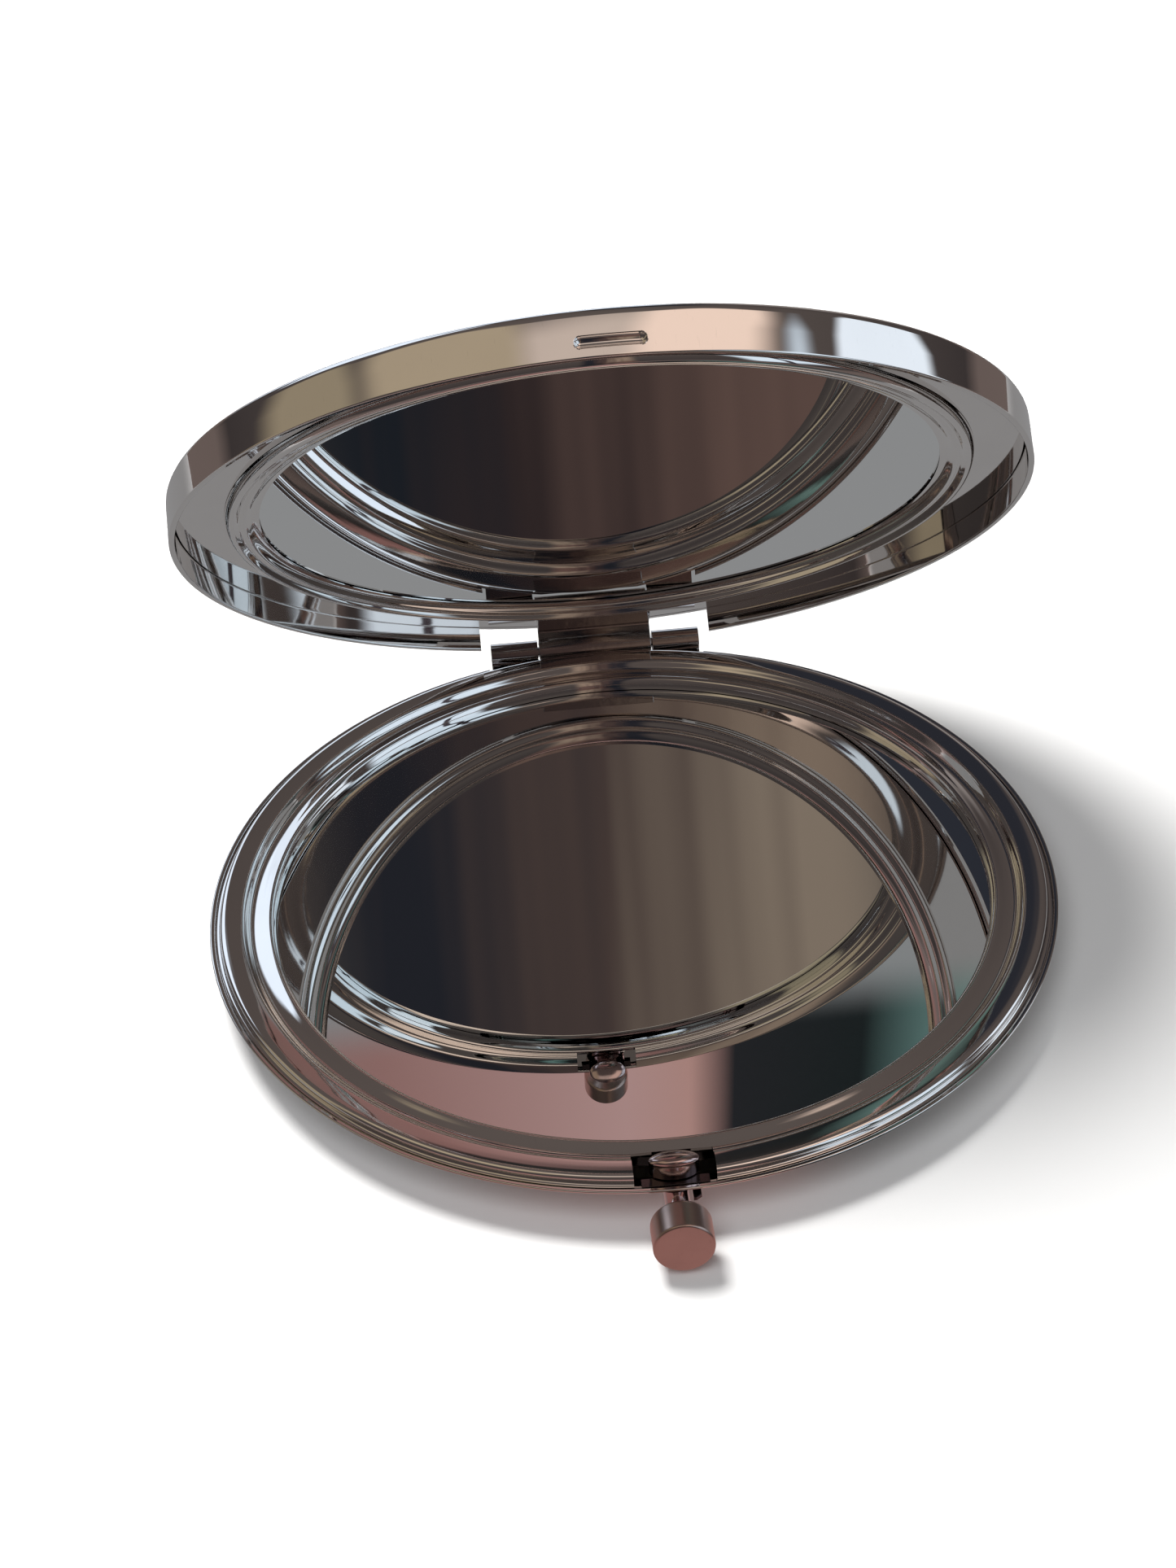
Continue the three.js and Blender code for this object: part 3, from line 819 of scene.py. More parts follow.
# Where a leaf's inner face meets its roll, as a share of the knuckle's radius from the axis.
BASE_MEET = 0.62
LID_MEET = 0.5


class HingeMaker(bpy.types.Operator):
    """Makes the two rolled hinge leaves and the pin"""

    bl_idname = "compact.hinge"
    bl_label = "Hinge"

    def execute(self, context):
        scene = context.scene
        case, hinge, _ = sizes(scene)
        y, z = hinge_axis(case, hinge)
        outer, bore = hinge.knuckle, hinge.bore
        sheet, half = hinge.sheet, hinge.half_width
        lid_half = hinge.lid_half
        inner = lid_half + KNUCKLE_GAP
        bottom = z - outer
        near = y - outer - BASE_LEAF_REACH
        metal = plated(scene, "hinge")
        curl = [
            (near, bottom), *arc((y, z), outer, *BASE_ROLL, ROLL_STEPS),
            *reversed(arc((y, z), bore, *BASE_BORE, BORE_STEPS)),
            (y - outer * BASE_MEET, bottom + sheet),
            (near, bottom + sheet),
        ]
        left = extrude("hinge_base_leaf_rolled", curl, -half, -inner)
        right = extrude("right_roll", curl, inner, half)
        plate = block(
            "leaf_plate", (-inner - SEAT_GAP, inner + SEAT_GAP),
            (near, y - outer - HINGE_CLEARANCE), (bottom, bottom + sheet),
        )
        combine(left, [right, plate], "UNION")
        soften(left, LEAF_EDGE)
        settle(left, "base", "hinge_metal", metal, "hinge_base_leaf")

        top = lid_lip(case) + case.lid_floor - SEAT_GAP / 2
        face = y - outer
        bend = (face + sheet - LEAF_BEND, top - LEAF_BEND)
        strap = [
            *arc((y, z), outer, *LID_ROLL, ROLL_STEPS),
            *reversed(arc((y, z), bore, *LID_BORE, BORE_STEPS)),
            (face + sheet, z + outer * LID_MEET),
            *arc(bend, LEAF_BEND, 0, 90, 10),
            (face - LID_LEAF_REACH, top), (face - LID_LEAF_REACH, top - sheet),
            *reversed(arc(bend, LEAF_BEND - sheet, 0, 90, 6)),
        ]
        lid_leaf = extrude("hinge_lid_leaf_rolled", strap, -lid_half, lid_half)
        soften(lid_leaf, LEAF_EDGE)
        swing_open(lid_leaf, case, hinge)
        settle(lid_leaf, "lid", "hinge_metal", metal, "hinge_lid_leaf")

        pin_radius = hinge.pin
        pin = lathe("hinge_pin_domed", rounded([
            (0, -half, 0.0), (pin_radius, -half, PIN_DOME),
            (pin_radius, half, PIN_DOME), (0, half, 0.0),
        ]), PIN_SIDES)
        pin.data.transform(
            Matrix.Translation(Vector((0, y, z)) * MM) @ Matrix.Rotation(math.pi / 2, 4, "Y")
        )
        settle(pin, "base", "hinge_metal", metal, "hinge_pin")
        return {"FINISHED"}


STEM_CLEARANCE = 0.07
NECK_LENGTH = 1.2
TENON_RADIUS = 0.55
TENON_CLEARANCE = 0.03
TENON_ROUND = 0.05
KNOB_NECK = 1.2
KNOB_FOOT_INSET = 0.15
KNOB_FOOT_ROUND = 0.1
KNOB_SHOULDER = 0.95
KNOB_SHOULDER_ROUND = 0.55
KNOB_EDGE = 0.25
KNOB_BORE = 1.4
RIVET_RADIUS = 0.85
RIVET_HEIGHT = 0.22
RIVET_ROUND = 0.16
STEM_EDGE = 0.04
STRIP_EDGE = 0.03
LUG_OUTER = 31.8
LUG_SHEET = 0.6
LUG_HALF = 1.5
LUG_DROP = 1.72
SHELF_DROP = 0.3
SHELF_SHEET = 0.2
POST_HALF = 1.3
POST_REACH = 33.4
NECK_WIDTH = 1.9
NECK_SET_BACK = 0.27
NECK_EDGE = 0.05
NECK_FLARE = 0.34
HEAD_DOME = 0.7
HEAD_TILT = 0.42
NECK_RINGS = 8
DOME_RINGS = 14
DOME_DEGREES = 6
LATCH_SIDES = 96


def stacked(name, rings, pivot, angles, sharp=40.0):
    """A body of ellipses (half width, half depth, middle Y, height, lean) in millimetres, bottom to
    top; the lean lifts a ring's front by that much per millimetre from the pivot."""
    bm = bmesh.new()
    loops = []
    for half_x, half_y, middle, height, lean in rings:
        loop = []
        for a in angles:
            y = middle + half_y * math.sin(a)
            z = height - lean * (y - pivot)
            loop.append(bm.verts.new((half_x * math.cos(a) * MM, y * MM, z * MM)))
        loops.append(loop)
    bm.faces.new(loops[0])
    bm.faces.new(loops[-1])
    for low, high in zip(loops, loops[1:]):
        for k, corner in enumerate(low):
            m = (k + 1) % len(low)
            bm.faces.new([corner, low[m], high[m], high[k]])
    return finish_mesh(name, bm, sharp)


class ButtonMaker(bpy.types.Operator):
    """Makes the push button's knob, its stem and the domed catch that holds the lid"""

    bl_idname = "compact.button"
    bl_label = "Push Button and Catch"

    def execute(self, context):
        scene = context.scene
        case, _, catch = sizes(scene)
        ledge = case.base_depth
        axis = ledge - catch.drop
        metal = plated(scene, "catch")
        stem_radius = catch.stem
        front = case.radius + NECK_LENGTH
        lug_inner = LUG_OUTER - LUG_SHEET
        stem = lathe("button_stem_turned", rounded([
            (0, lug_inner - RIVET_HEIGHT, 0.0),
            (RIVET_RADIUS, lug_inner - RIVET_HEIGHT, RIVET_ROUND),
            (RIVET_RADIUS, lug_inner, STRIP_EDGE),
            (TENON_RADIUS, lug_inner, 0.0),
            (TENON_RADIUS, LUG_OUTER, 0.0),
            (stem_radius, LUG_OUTER, STEM_EDGE),
            (stem_radius, front, STEM_EDGE),
            (TENON_RADIUS, front, 0.0),
            (TENON_RADIUS, front + KNOB_BORE - SEAT_GAP, TENON_ROUND),
            (0, front + KNOB_BORE - SEAT_GAP, 0.0),
        ], 4), LATCH_SIDES)
        settle(about_y(stem, axis), "latch", "button_chrome", metal, "button_stem")

        back = front + SEAT_GAP
        knob_radius = catch.knob
        tip = back + catch.knob_length
        bore = TENON_RADIUS + TENON_CLEARANCE
        knob = lathe("button_knob_turned", rounded([
            (bore, back, 0.0),
            (KNOB_NECK - KNOB_FOOT_INSET, back, KNOB_FOOT_ROUND),
            (knob_radius, back + KNOB_SHOULDER, KNOB_SHOULDER_ROUND),
            (knob_radius, tip, KNOB_EDGE),
            (0, tip, 0.0),
            (0, back + KNOB_BORE, 0.0),
            (bore, back + KNOB_BORE, 0.0),
        ], 10), LATCH_SIDES * 2, sharp=50.0)
        satin = plated(scene, "button")
        settle(about_y(knob, axis), "latch", "button_chrome", satin, "button_knob")

        half, depth = catch.head_half, catch.head_depth
        pivot = depth - catch.head_tip
        neck_front = catch.head_tip - NECK_SET_BACK
        neck_depth = (neck_front - LUG_OUTER) / 2
        neck_middle = neck_depth - neck_front
        rise = ledge + catch.head_rise
        rings = [
            (NECK_WIDTH - NECK_EDGE, neck_depth - NECK_EDGE, neck_middle, ledge, 0.0),
            (NECK_WIDTH, neck_depth, neck_middle, ledge + NECK_EDGE, 0.0),
            (NECK_WIDTH, neck_depth, neck_middle, rise - NECK_FLARE * 1.5, HEAD_TILT),
        ]
        # The neck flares softly out to the head's edge.
        for i in range(NECK_RINGS + 1):
            t = i / NECK_RINGS
            out = t * t * (3 - 2 * t)
            rings.append((
                NECK_WIDTH + (half - NECK_WIDTH) * out, neck_depth + (depth - neck_depth) * out,
                neck_middle + (pivot - neck_middle) * out, rise - NECK_FLARE * (1 - t), HEAD_TILT,
            ))
        for i in range(1, DOME_RINGS + 1):
            angle = math.radians(DOME_DEGREES * i)
            rings.append((
                half * math.cos(angle), depth * math.cos(angle), pivot,
                rise + HEAD_DOME * math.sin(angle), HEAD_TILT,
            ))
        head = stacked("latch_catch_domed", rings, pivot, even_angles(LATCH_SIDES))
        shelf_top = ledge - SHELF_DROP + SHELF_SHEET
        shelf_bottom = ledge - SHELF_DROP
        wide = (-POST_HALF, POST_HALF)
        lug = block(
            "lug", (-LUG_HALF, LUG_HALF), (-LUG_OUTER, -lug_inner), (ledge - LUG_DROP, shelf_top),
        )
        shelf = block("shelf", wide, (-POST_REACH, -lug_inner), (shelf_bottom, shelf_top))
        post = block("post", wide, (-POST_REACH, -LUG_OUTER), (shelf_bottom, ledge + SEAT_GAP))
        combine(head, [lug, shelf, post], "UNION")
        hole = lathe("tenon_hole", [
            (0, LUG_OUTER - CUT_OVERRUN), (bore, LUG_OUTER - CUT_OVERRUN),
            (bore, LUG_OUTER + SEAT_GAP), (0, LUG_OUTER + SEAT_GAP),
        ], LATCH_SIDES // 2)
        combine(head, [about_y(hole, axis)], "DIFFERENCE")
        soften(head, STRIP_EDGE, segments=2, angle=50.0)
        settle(head, "latch", "button_chrome", metal, "latch_catch")
        return {"FINISHED"}


GUIDE_HALF = 2.6
GUIDE_INNER = 33.45
GUIDE_OUTER = 34.35
GUIDE_SHEET = 0.22
EAR_INNER = 1.2
EAR_OUTER = 1.85
EAR_TIP = 1.45
EAR_REACH = 35.3
EAR_DROP = 0.7
EAR_SHEET = 0.3
SPRING_SHEET = 0.18
SPRING_HEIGHT = 0.88
SPRING_TOP = 0.43
SPRING_HALF = 7.0
SPRING_END_Y = -29.21
SPRING_STEPS = 48


class GuideMaker(bpy.types.Operator):
    """Makes the catch's guide plate with its ear, and the bowed leaf spring"""

    bl_idname = "compact.guide"
    bl_label = "Latch Guide and Spring"

    def execute(self, context):
        scene = context.scene
        case, _, _ = sizes(scene)
        ledge = case.base_depth
        # The near-black spring plate is painted shade: it makes the guide plate read as the
        # shadowed notch under the catch.
        metal = plated(scene, "spring")
        top = ledge - REBATE_DROP + SEAT_GAP + GUIDE_SHEET
        guide = block(
            "latch_guide_plate", (-GUIDE_HALF, GUIDE_HALF), (-GUIDE_OUTER, -GUIDE_INNER),
            (top - GUIDE_SHEET, top),
        )
        radius = case.radius
        ear_bottom = ledge - EAR_DROP - EAR_SHEET
        ear = extrude("ear", [
            (EAR_INNER, -GUIDE_INNER), (EAR_INNER, -EAR_REACH), (EAR_TIP, -EAR_REACH),
            (EAR_OUTER, -radius), (EAR_OUTER, -GUIDE_INNER),
        ], ear_bottom, ear_bottom + EAR_SHEET, "Z")
        web = block(
            "web", (EAR_INNER, EAR_OUTER), (-GUIDE_INNER - EAR_SHEET, -GUIDE_INNER),
            (ear_bottom, top),
        )
        combine(guide, [ear, web], "UNION")
        soften(guide, STRIP_EDGE)
        settle(guide, "base", "spring_metal", metal, "latch_guide")

        crown = -(LUG_OUTER - LUG_SHEET - RIVET_HEIGHT - SEAT_GAP)
        reach = 2 * crown - SPRING_END_Y
        bow = []
        for i in range(SPRING_STEPS + 1):
            t = i / SPRING_STEPS
            across = SPRING_HALF * (2 * t - 1)
            bow.append((across, SPRING_END_Y * ((1 - t) ** 2 + t ** 2) + reach * 2 * t * (1 - t)))
        strip = [(x, y + SPRING_SHEET) for x, y in bow] + list(reversed(bow))
        low = ledge - SPRING_TOP - SPRING_HEIGHT
        spring = extrude("latch_spring_bow", strip, low, low + SPRING_HEIGHT, "Z")
        soften(spring, STRIP_EDGE, segments=2)
        settle(spring, "base", "spring_metal", metal, "latch_spring")
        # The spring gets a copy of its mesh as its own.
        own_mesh(spring)
        return {"FINISHED"}


DENT_HALF = 2.15
DENT_RADIUS = 0.5
DENT_RISE = 1.25
DENT_DEPTH = 0.38
DENT_FALL = 0.8
DENT_REACH = 3.0
DENT_COVER = 1.15
WALL_MARGIN = 0.06
LID_CUT_CLEARANCE = 0.9
LID_CUT_DEPTH = 6.6
# Rows of the wall and steps of the turn at the dent, and half the angle that they cover.
DENT_ROWS = 22
DENT_STEPS = 110
DENT_SPREAD = math.radians(5)


def press_dent(piece, lip, radius, sheet):
    """Presses the pill-shaped catch dent inwards in the front of the lid's wall."""
    for vertex in piece.data.vertices:
        x, y, z = (value / MM for value in vertex.co)
        if y > -radius + DENT_REACH or math.hypot(x, y) < radius - sheet - WALL_MARGIN:
            continue
        along = max(abs(x) - DENT_HALF, 0.0)
        away = math.hypot(along, z - lip - DENT_RISE) / DENT_RADIUS
        if away >= 1:
            continue
        push = DENT_DEPTH * (1 - away ** 2) ** DENT_FALL
        share = 1 - push / math.hypot(x, y)
        vertex.co.x *= share
        vertex.co.y *= share


class LidShellMaker(bpy.types.Operator):
    """Makes the lid's pressed shell with its catch dent and hinge notch"""

    bl_idname = "compact.lid_shell"
    bl_label = "Lid Shell"

    def execute(self, context):
        scene = context.scene
        case, hinge, _ = sizes(scene)
        radius, sheet = case.radius, case.sheet
        lip = lid_lip(case)
        top = lip + case.lid_height
        edge = case.lid_round
        inner = radius - sheet
        mouth = rounded([
            (inner, lip + 1, 0.0), (inner, lip, LIP_ROUND),
            (radius, lip, LIP_ROUND), (radius, lip + 1, 0.0),
        ], 8)[1:-1]
        dent_bottom = lip + DENT_RISE - DENT_RADIUS * DENT_COVER
        dent_height = DENT_RADIUS * 2 * DENT_COVER
        fine = [dent_bottom + dent_height * i / DENT_ROWS for i in range(DENT_ROWS + 1)]
        wall = [(radius, z) for z in fine]
        back = [(inner, z) for z in reversed(fine)]
        crown = arc((radius - edge, top - edge), edge, 0, 90, 14)
        inside = arc((radius - edge, top - edge), edge - sheet, 90, 0, 8)
        outline = [*mouth, *wall, *crown, (0, top), (0, top - sheet), *inside, *back]
        angles = angles_fine_at(case.sides, FRONT, DENT_SPREAD, DENT_STEPS)
        piece = lathe("lid_shell_skin", outline, angles)
        press_dent(piece, lip, radius, sheet)
        y, _ = hinge_axis(case, hinge)
        half = hinge.half_width + LID_CUT_CLEARANCE
        notch = block(
            "lid_notch", (-half, half), (radius - LID_CUT_DEPTH, y + CUT_OVERRUN),
            (lip - CUT_OVERRUN, lip + case.lid_floor),
        )
        combine(piece, [notch], "DIFFERENCE")
        swing_open(piece, case, hinge)
        settle(piece, "lid", "shell_chrome", plated(scene, "shell"), "lid_shell")
        return {"FINISHED"}


PLATE_SHEET = 0.4
PLATE_FLANGE = 0.8
PLATE_ROUND = 0.12
# The ring round the lid's glass: radius from the middle, rise from the lid's floor towards its lip.
RING_CURVE = [
    (30.44, 0.02), (30.38, 0.3), (30.27, 0.56), (30.12, 0.78), (29.92, 0.87), (29.72, 0.84),
    (29.5, 0.7), (29.3, 0.55), (29.15, 0.51), (29.0, 0.56), (28.84, 0.585), (28.64, 0.52),
    (28.4, 0.38), (28.15, 0.26), (27.9, 0.18), (27.62, 0.11),
]
RING_SHEET = 0.2


class LidFloorMaker(bpy.types.Operator):
    """Makes the lid's polished inner floor and the pressed ring round its glass"""

    bl_idname = "compact.lid_floor"
    bl_label = "Lid Floor and Ring"

    def execute(self, context):
        scene = context.scene
        case, hinge, _ = sizes(scene)
        metal = plated(scene, "rim")
        floor = lid_lip(case) + case.lid_floor
        outer = case.radius - case.sheet - SEAT_GAP
        hole = case.lid_glass + SEAT_GAP
        plate = lathe("lid_inner_plate_skin", rounded([
            (hole, floor, STRIP_EDGE),
            (outer, floor, PLATE_ROUND),
            (outer, floor + PLATE_FLANGE, STRIP_EDGE),
            (outer - PLATE_SHEET, floor + PLATE_FLANGE, STRIP_EDGE),
            (outer - PLATE_SHEET, floor + PLATE_SHEET, 0.0),
            (hole, floor + PLATE_SHEET, STRIP_EDGE),
        ]), case.sides, sharp=30.0)
        swing_open(plate, case, hinge)
        settle(plate, "lid", "frame_chrome", metal, "lid_inner_plate")

        foot = floor - SEAT_GAP / 2
        face = [(r, foot - rise) for r, rise in through(RING_CURVE)]
        back = [(r, min(z, foot)) for r, z in back_of(face, -RING_SHEET)]
        ring = lathe("lid_mirror_ring_skin", [*face, *reversed(back)], case.sides, sharp=50.0)
        swing_open(ring, case, hinge)
        settle(ring, "lid", "frame_chrome", metal, "lid_mirror_ring")
        return {"FINISHED"}


class LidMirrorMaker(bpy.types.Operator):
    """Makes the lid glass and the foam tape behind it"""

    bl_idname = "compact.lid_mirror"
    bl_label = "Lid Mirror"

    def execute(self, context):
        scene = context.scene
        case, hinge, _ = sizes(scene)
        floor = lid_lip(case) + case.lid_floor
        near = floor + SEAT_GAP
        far = near + LID_GLASS_SHEET
        radius = case.lid_glass
        glass = glass_disc("lid_mirror_glass", radius, near, far, case.sides)
        swing_open(glass, case, hinge)
        settle(glass, "lid", "mirror_glass", plated(scene, "silver"), "lid_mirror")
        top = lid_lip(case) + case.lid_height
        pad = foam_disc(
            "lid_mirror_foam", radius - LID_PAD_INSET, far + SEAT_GAP,
            top - case.sheet - SEAT_GAP, case.sides // 2,
        )
        swing_open(pad, case, hinge)
        settle(pad, "lid", "foam_pad", foam_tape(scene), "lid_mirror_pad")
        return {"FINISHED"}


# The studio wall, seen only in reflections: its own colour from straight down (0) over level
# (0.5) to straight up (1), and the patches on it. Azimuth 0 is in front of the compact and 90 to
# its right. Each patch: azimuth and elevation of its middle, half width, half height and soft
# edge, all in degrees, then its colour.
WALL_TONES = [
    (0.0, (0.16, 0.125, 0.115)), (0.46, (0.16, 0.125, 0.115)), (0.5, (0.05, 0.042, 0.042)),
    (1.0, (0.12, 0.1, 0.092)),
]
WALL_PATCHES = {
    "ceiling_left": (-64.0, 56.0, 28.0, 19.0, 8.0, (0.46, 0.38, 0.27)),
    "ceiling": (5.0, 70.0, 22.0, 14.0, 8.0, (0.66, 0.55, 0.48)),
    "ceiling_right": (56.0, 64.0, 22.0, 14.0, 7.0, (1.06, 0.83, 0.7)),
    "right_window": (60.0, 26.0, 22.0, 24.0, 5.0, (0.85, 1.0, 1.15)),
    "window_bar": (52.0, 24.0, 1.6, 26.0, 0.8, (0.06, 0.05, 0.06)),
    "side_window": (100.0, 20.0, 11.0, 17.0, 3.0, (1.0, 1.12, 1.25)),
    "left_wall": (-96.0, 17.0, 17.0, 21.0, 7.0, (0.34, 0.285, 0.2)),
    "back_left_window": (-148.0, 28.0, 14.0, 14.0, 3.0, (1.05, 1.2, 1.4)),
    "back_left_glow": (-170.0, 9.0, 19.0, 16.0, 4.0, (0.95, 1.08, 1.25)),
    "back_right_glow": (160.0, 10.0, 12.0, 16.0, 8.0, (0.3, 0.27, 0.26)),
    "back_right_dark": (169.0, 38.0, 9.0, 11.0, 3.5, (0.025, 0.027, 0.036)),
}
# Hanging folds behind the camera: they give the two mirrors their soft upright bands.
FOLDS_PATCH = (3.0, 22.0, 8.0, 34.0, 3.0)
FOLDS_HIGH = [
    (0.0, (0.022, 0.022, 0.029)), (0.4, (0.085, 0.056, 0.05)), (1.0, (0.31, 0.23, 0.178)),
]
# Near the table the folds are deeper: blue-black on the left and rust on the right.
FOLDS_LOW = [
    (0.0, (0.016, 0.018, 0.024)), (0.35, (0.04, 0.026, 0.026)), (1.0, (0.15, 0.088, 0.074)),
]
FOLDS_STRETCH = (1.0, 0.0, 0.05)
FOLDS_SCALE = 34.0
FOLDS_SPAN = (-0.03, 0.13)
FOLDS_SWAY = 0.95
FOLDS_LIFT = (0.1, 0.4)
WALL_RADIUS = 0.9
FLOOR_RADIUS = 0.2
FLOOR_FADE = 0.12
FLOOR_SHIFT = 0.02
# Grey of the table beside the compact: painted shade of the floor there, darker than the pale
# floor.
TABLE_SIDE_PAINTED_SHADE = (0.56, 0.56, 0.57)
TABLE_FAR = (0.05, 0.045, 0.045)
TABLE_FRONT = [
    (0.0, (0.4, 0.31, 0.3)), (0.3, (0.66, 0.35, 0.325)), (0.52, (1.0, 0.6, 0.57)),
    (0.58, (1.0, 0.56, 0.5)), (0.62, (0.04, 0.04, 0.046)), (0.74, (0.026, 0.034, 0.036)),
    (0.84, (0.34, 0.58, 0.54)), (0.92, (0.06, 0.07, 0.072)), (1.0, (0.12, 0.12, 0.12)),
]
# Where the ramp across the table, its rosy front and its dark far part begin and end, in metres.
TABLE_SPAN = (-0.06, 0.06)
TABLE_AHEAD = (-0.024, -0.036)
TABLE_BEYOND = (-0.075, -0.11)
TABLE_GLOW = 0.32
TABLE_RADIUS = 0.16
TABLE_DROP = 0.0001
DISC_SIDES = 128
MATT_ROUGHNESS = 0.9
MATT_SPECULAR = 0.1
FLOOR_MOTTLE = 25.0
FLOOR_DARK = 0.985
WORLD_LIGHT = 0.2
# Each lamp: azimuth and elevation in degrees, distance and width in metres, colour.
KEY_LAMP = (-140, 66, 0.5, 0.2, (1.0, 0.99, 0.97))
FILL_LAMP = (-20, 55, 0.5, 0.3, (0.97, 0.98, 1.0))


def direction(a, e):
    """The way from the middle at an azimuth and elevation in radians."""
    return Vector((math.sin(a) * math.cos(e), -math.cos(a) * math.cos(e), math.sin(e)))


def wall_direction(azimuth, elevation):
    return direction(math.radians(azimuth), math.radians(elevation))


def add_patch(tree, below, azimuth, elevation, width, height, edge, light):
    """Lays one patch over what is below it; light is a colour or a socket."""
    patch = node(tree, "Group", {
        "Direction": wall_direction(azimuth, elevation),
        "Across": wall_direction(azimuth + 90, 0),
        "Half width": math.sin(math.radians(width)),
        "Half height": math.sin(math.radians(height)),
        "Soft edge": math.sin(math.radians(edge)),
    }, node_tree=patch_group())
    tree.links.new(below, patch.inputs["Below"])
    if isinstance(light, tuple):
        patch.inputs["Light"].default_value = (*light, 1)
    else:
        tree.links.new(light, patch.inputs["Light"])
    return patch.outputs["Color"]


def ramp(tree, factor, stops):
    """A colour ramp over (position, colour) stops."""
    made = node(tree, "ValToRGB")
    elements = made.color_ramp.elements
    while len(elements) < len(stops):
        elements.new(0.5)
    for element, (position, value) in zip(elements, stops):
        element.position = position
        element.color = (*value, 1)
    tree.links.new(factor, made.inputs["Fac"])
    return made.outputs["Color"]


def hanging_folds(tree, ray):
    """Upright soft folds, dark on the left and brown on the right."""
    stretch = node(tree, "Mapping", {"Scale": FOLDS_STRETCH})
    folds = node(tree, "TexNoise", {"Scale": FOLDS_SCALE, "Detail": 2.0})
    split = node(tree, "SeparateXYZ")
    across = node(tree, "MapRange", {"From Min": FOLDS_SPAN[0], "From Max": FOLDS_SPAN[1]})
    sway = node(tree, "Math", {1: FOLDS_SWAY, 2: -FOLDS_SWAY / 2}, operation="MULTIPLY_ADD")
    both = node(tree, "Math", operation="ADD", use_clamp=True)
    lift = soft_step(tree, {"From Min": FOLDS_LIFT[0], "From Max": FOLDS_LIFT[1]})
    tone = node(tree, "Mix", data_type="RGBA")
    wire(
        tree, (ray, "Vector", stretch, "Vector"), (stretch, "Vector", folds, "Vector"),
        (folds, "Fac", sway, 0), (ray, "Vector", split, "Vector"), (split, "X", across, "Value"),
        (across, "Result", both, 0), (sway, "Value", both, 1), (split, "Z", lift, "Value"),
        (lift, "Result", tone, "Factor"),
    )
    for stops, entry in ((FOLDS_LOW, "A"), (FOLDS_HIGH, "B")):
        tree.links.new(ramp(tree, both.outputs["Value"], stops), tone.inputs[entry])
    return tone.outputs["Result"]


def glow_material(name):
    """An emission material and its tree, position node and emission node."""
    material = bpy.data.materials.new(name)
    material.use_nodes = True
    tree = material.node_tree
    tree.nodes.clear()
    place = node(tree, "TexCoord")
    glow = node(tree, "Emission")
    out = node(tree, "OutputMaterial")
    wire(tree, (glow, "Emission", out, "Surface"))
    return material, tree, place, glow


def wall_material():
    """The studio wall: a dark warm gradient with soft patches of light."""
    material, tree, place, glow = glow_material("studio_wall")
    ray = node(tree, "VectorMath", operation="NORMALIZE")
    split = node(tree, "SeparateXYZ")
    rise = node(tree, "MapRange", {"From Min": -1.0, "From Max": 1.0})
    wire(
        tree, (place, "Object", ray, 0), (ray, "Vector", split, "Vector"),
        (split, "Z", rise, "Value"),
    )
    last = ramp(tree, rise.outputs["Result"], WALL_TONES)
    last = add_patch(tree, last, *FOLDS_PATCH, hanging_folds(tree, ray))
    for patch in WALL_PATCHES.values():
        last = add_patch(tree, last, *patch)
    tree.links.new(last, glow.inputs["Color"])
    return material


def matt(shader):
    shader.inputs["Roughness"].default_value = MATT_ROUGHNESS
    shader.inputs["Specular IOR Level"].default_value = MATT_SPECULAR


def floor_material(tint):
    """Pale floor that fades out towards its rim, where the pale surround takes over."""
    material, tree, shader = new_material("pale_floor")
    grain = node(tree, "Group", {"Mottle size": FLOOR_MOTTLE}, node_tree=grain_group())
    tone = node(tree, "Mix", {"A": solid(tint, FLOOR_DARK), "B": solid(tint)}, data_type="RGBA")
    place = node(tree, "TexCoord")
    away = node(tree, "VectorMath", operation="LENGTH")
    fade = soft_step(
        tree, {"From Min": FLOOR_FADE, "From Max": FLOOR_RADIUS, "To Min": 1.0, "To Max": 0.0},
    )
    wire(
        tree, (grain, "Mottle", tone, "Factor"), (tone, "Result", shader, "Base Color"),
        (place, "Object", away, 0), (away, "Value", fade, "Value"),
        (fade, "Result", shader, "Alpha"),
    )
    matt(shader)
    return material


def table_material():
    """The table top as the metal reflects it: grey beside the compact, painted shade of the floor
    there, rosy in front of it, dark with a teal stretch at the front right, and dark farther out."""
    material, tree, shader = new_material("reflected_table")
    place = node(tree, "TexCoord")
    split = node(tree, "SeparateXYZ")
    across = node(tree, "MapRange", {"From Min": TABLE_SPAN[0], "From Max": TABLE_SPAN[1]})
    ahead = soft_step(tree, {"From Min": TABLE_AHEAD[0], "From Max": TABLE_AHEAD[1]})
    far = soft_step(tree, {"From Min": TABLE_BEYOND[0], "From Max": TABLE_BEYOND[1]})
    front = node(tree, "Mix", {"A": (*TABLE_SIDE_PAINTED_SHADE, 1)}, data_type="RGBA")
    tone = node(tree, "Mix", {"B": (*TABLE_FAR, 1)}, data_type="RGBA")
    # The table glows only for reflected rays, so it doesn't light the floor directly.
    seen = node(tree, "LightPath")
    glow = node(tree, "Math", {1: TABLE_GLOW}, operation="MULTIPLY")
    wire(
        tree, (place, "Object", split, "Vector"), (split, "X", across, "Value"),
        (split, "Y", ahead, "Value"), (split, "Y", far, "Value"),
        (ahead, "Result", front, "Factor"), (front, "Result", tone, "A"),
        (far, "Result", tone, "Factor"), (tone, "Result", shader, "Base Color"),
        (tone, "Result", shader, "Emission Color"), (seen, "Is Glossy Ray", glow, 0),
        (glow, "Value", shader, "Emission Strength"),
    )
    tree.links.new(ramp(tree, across.outputs["Result"], TABLE_FRONT), front.inputs["B"])
    matt(shader)
    return material


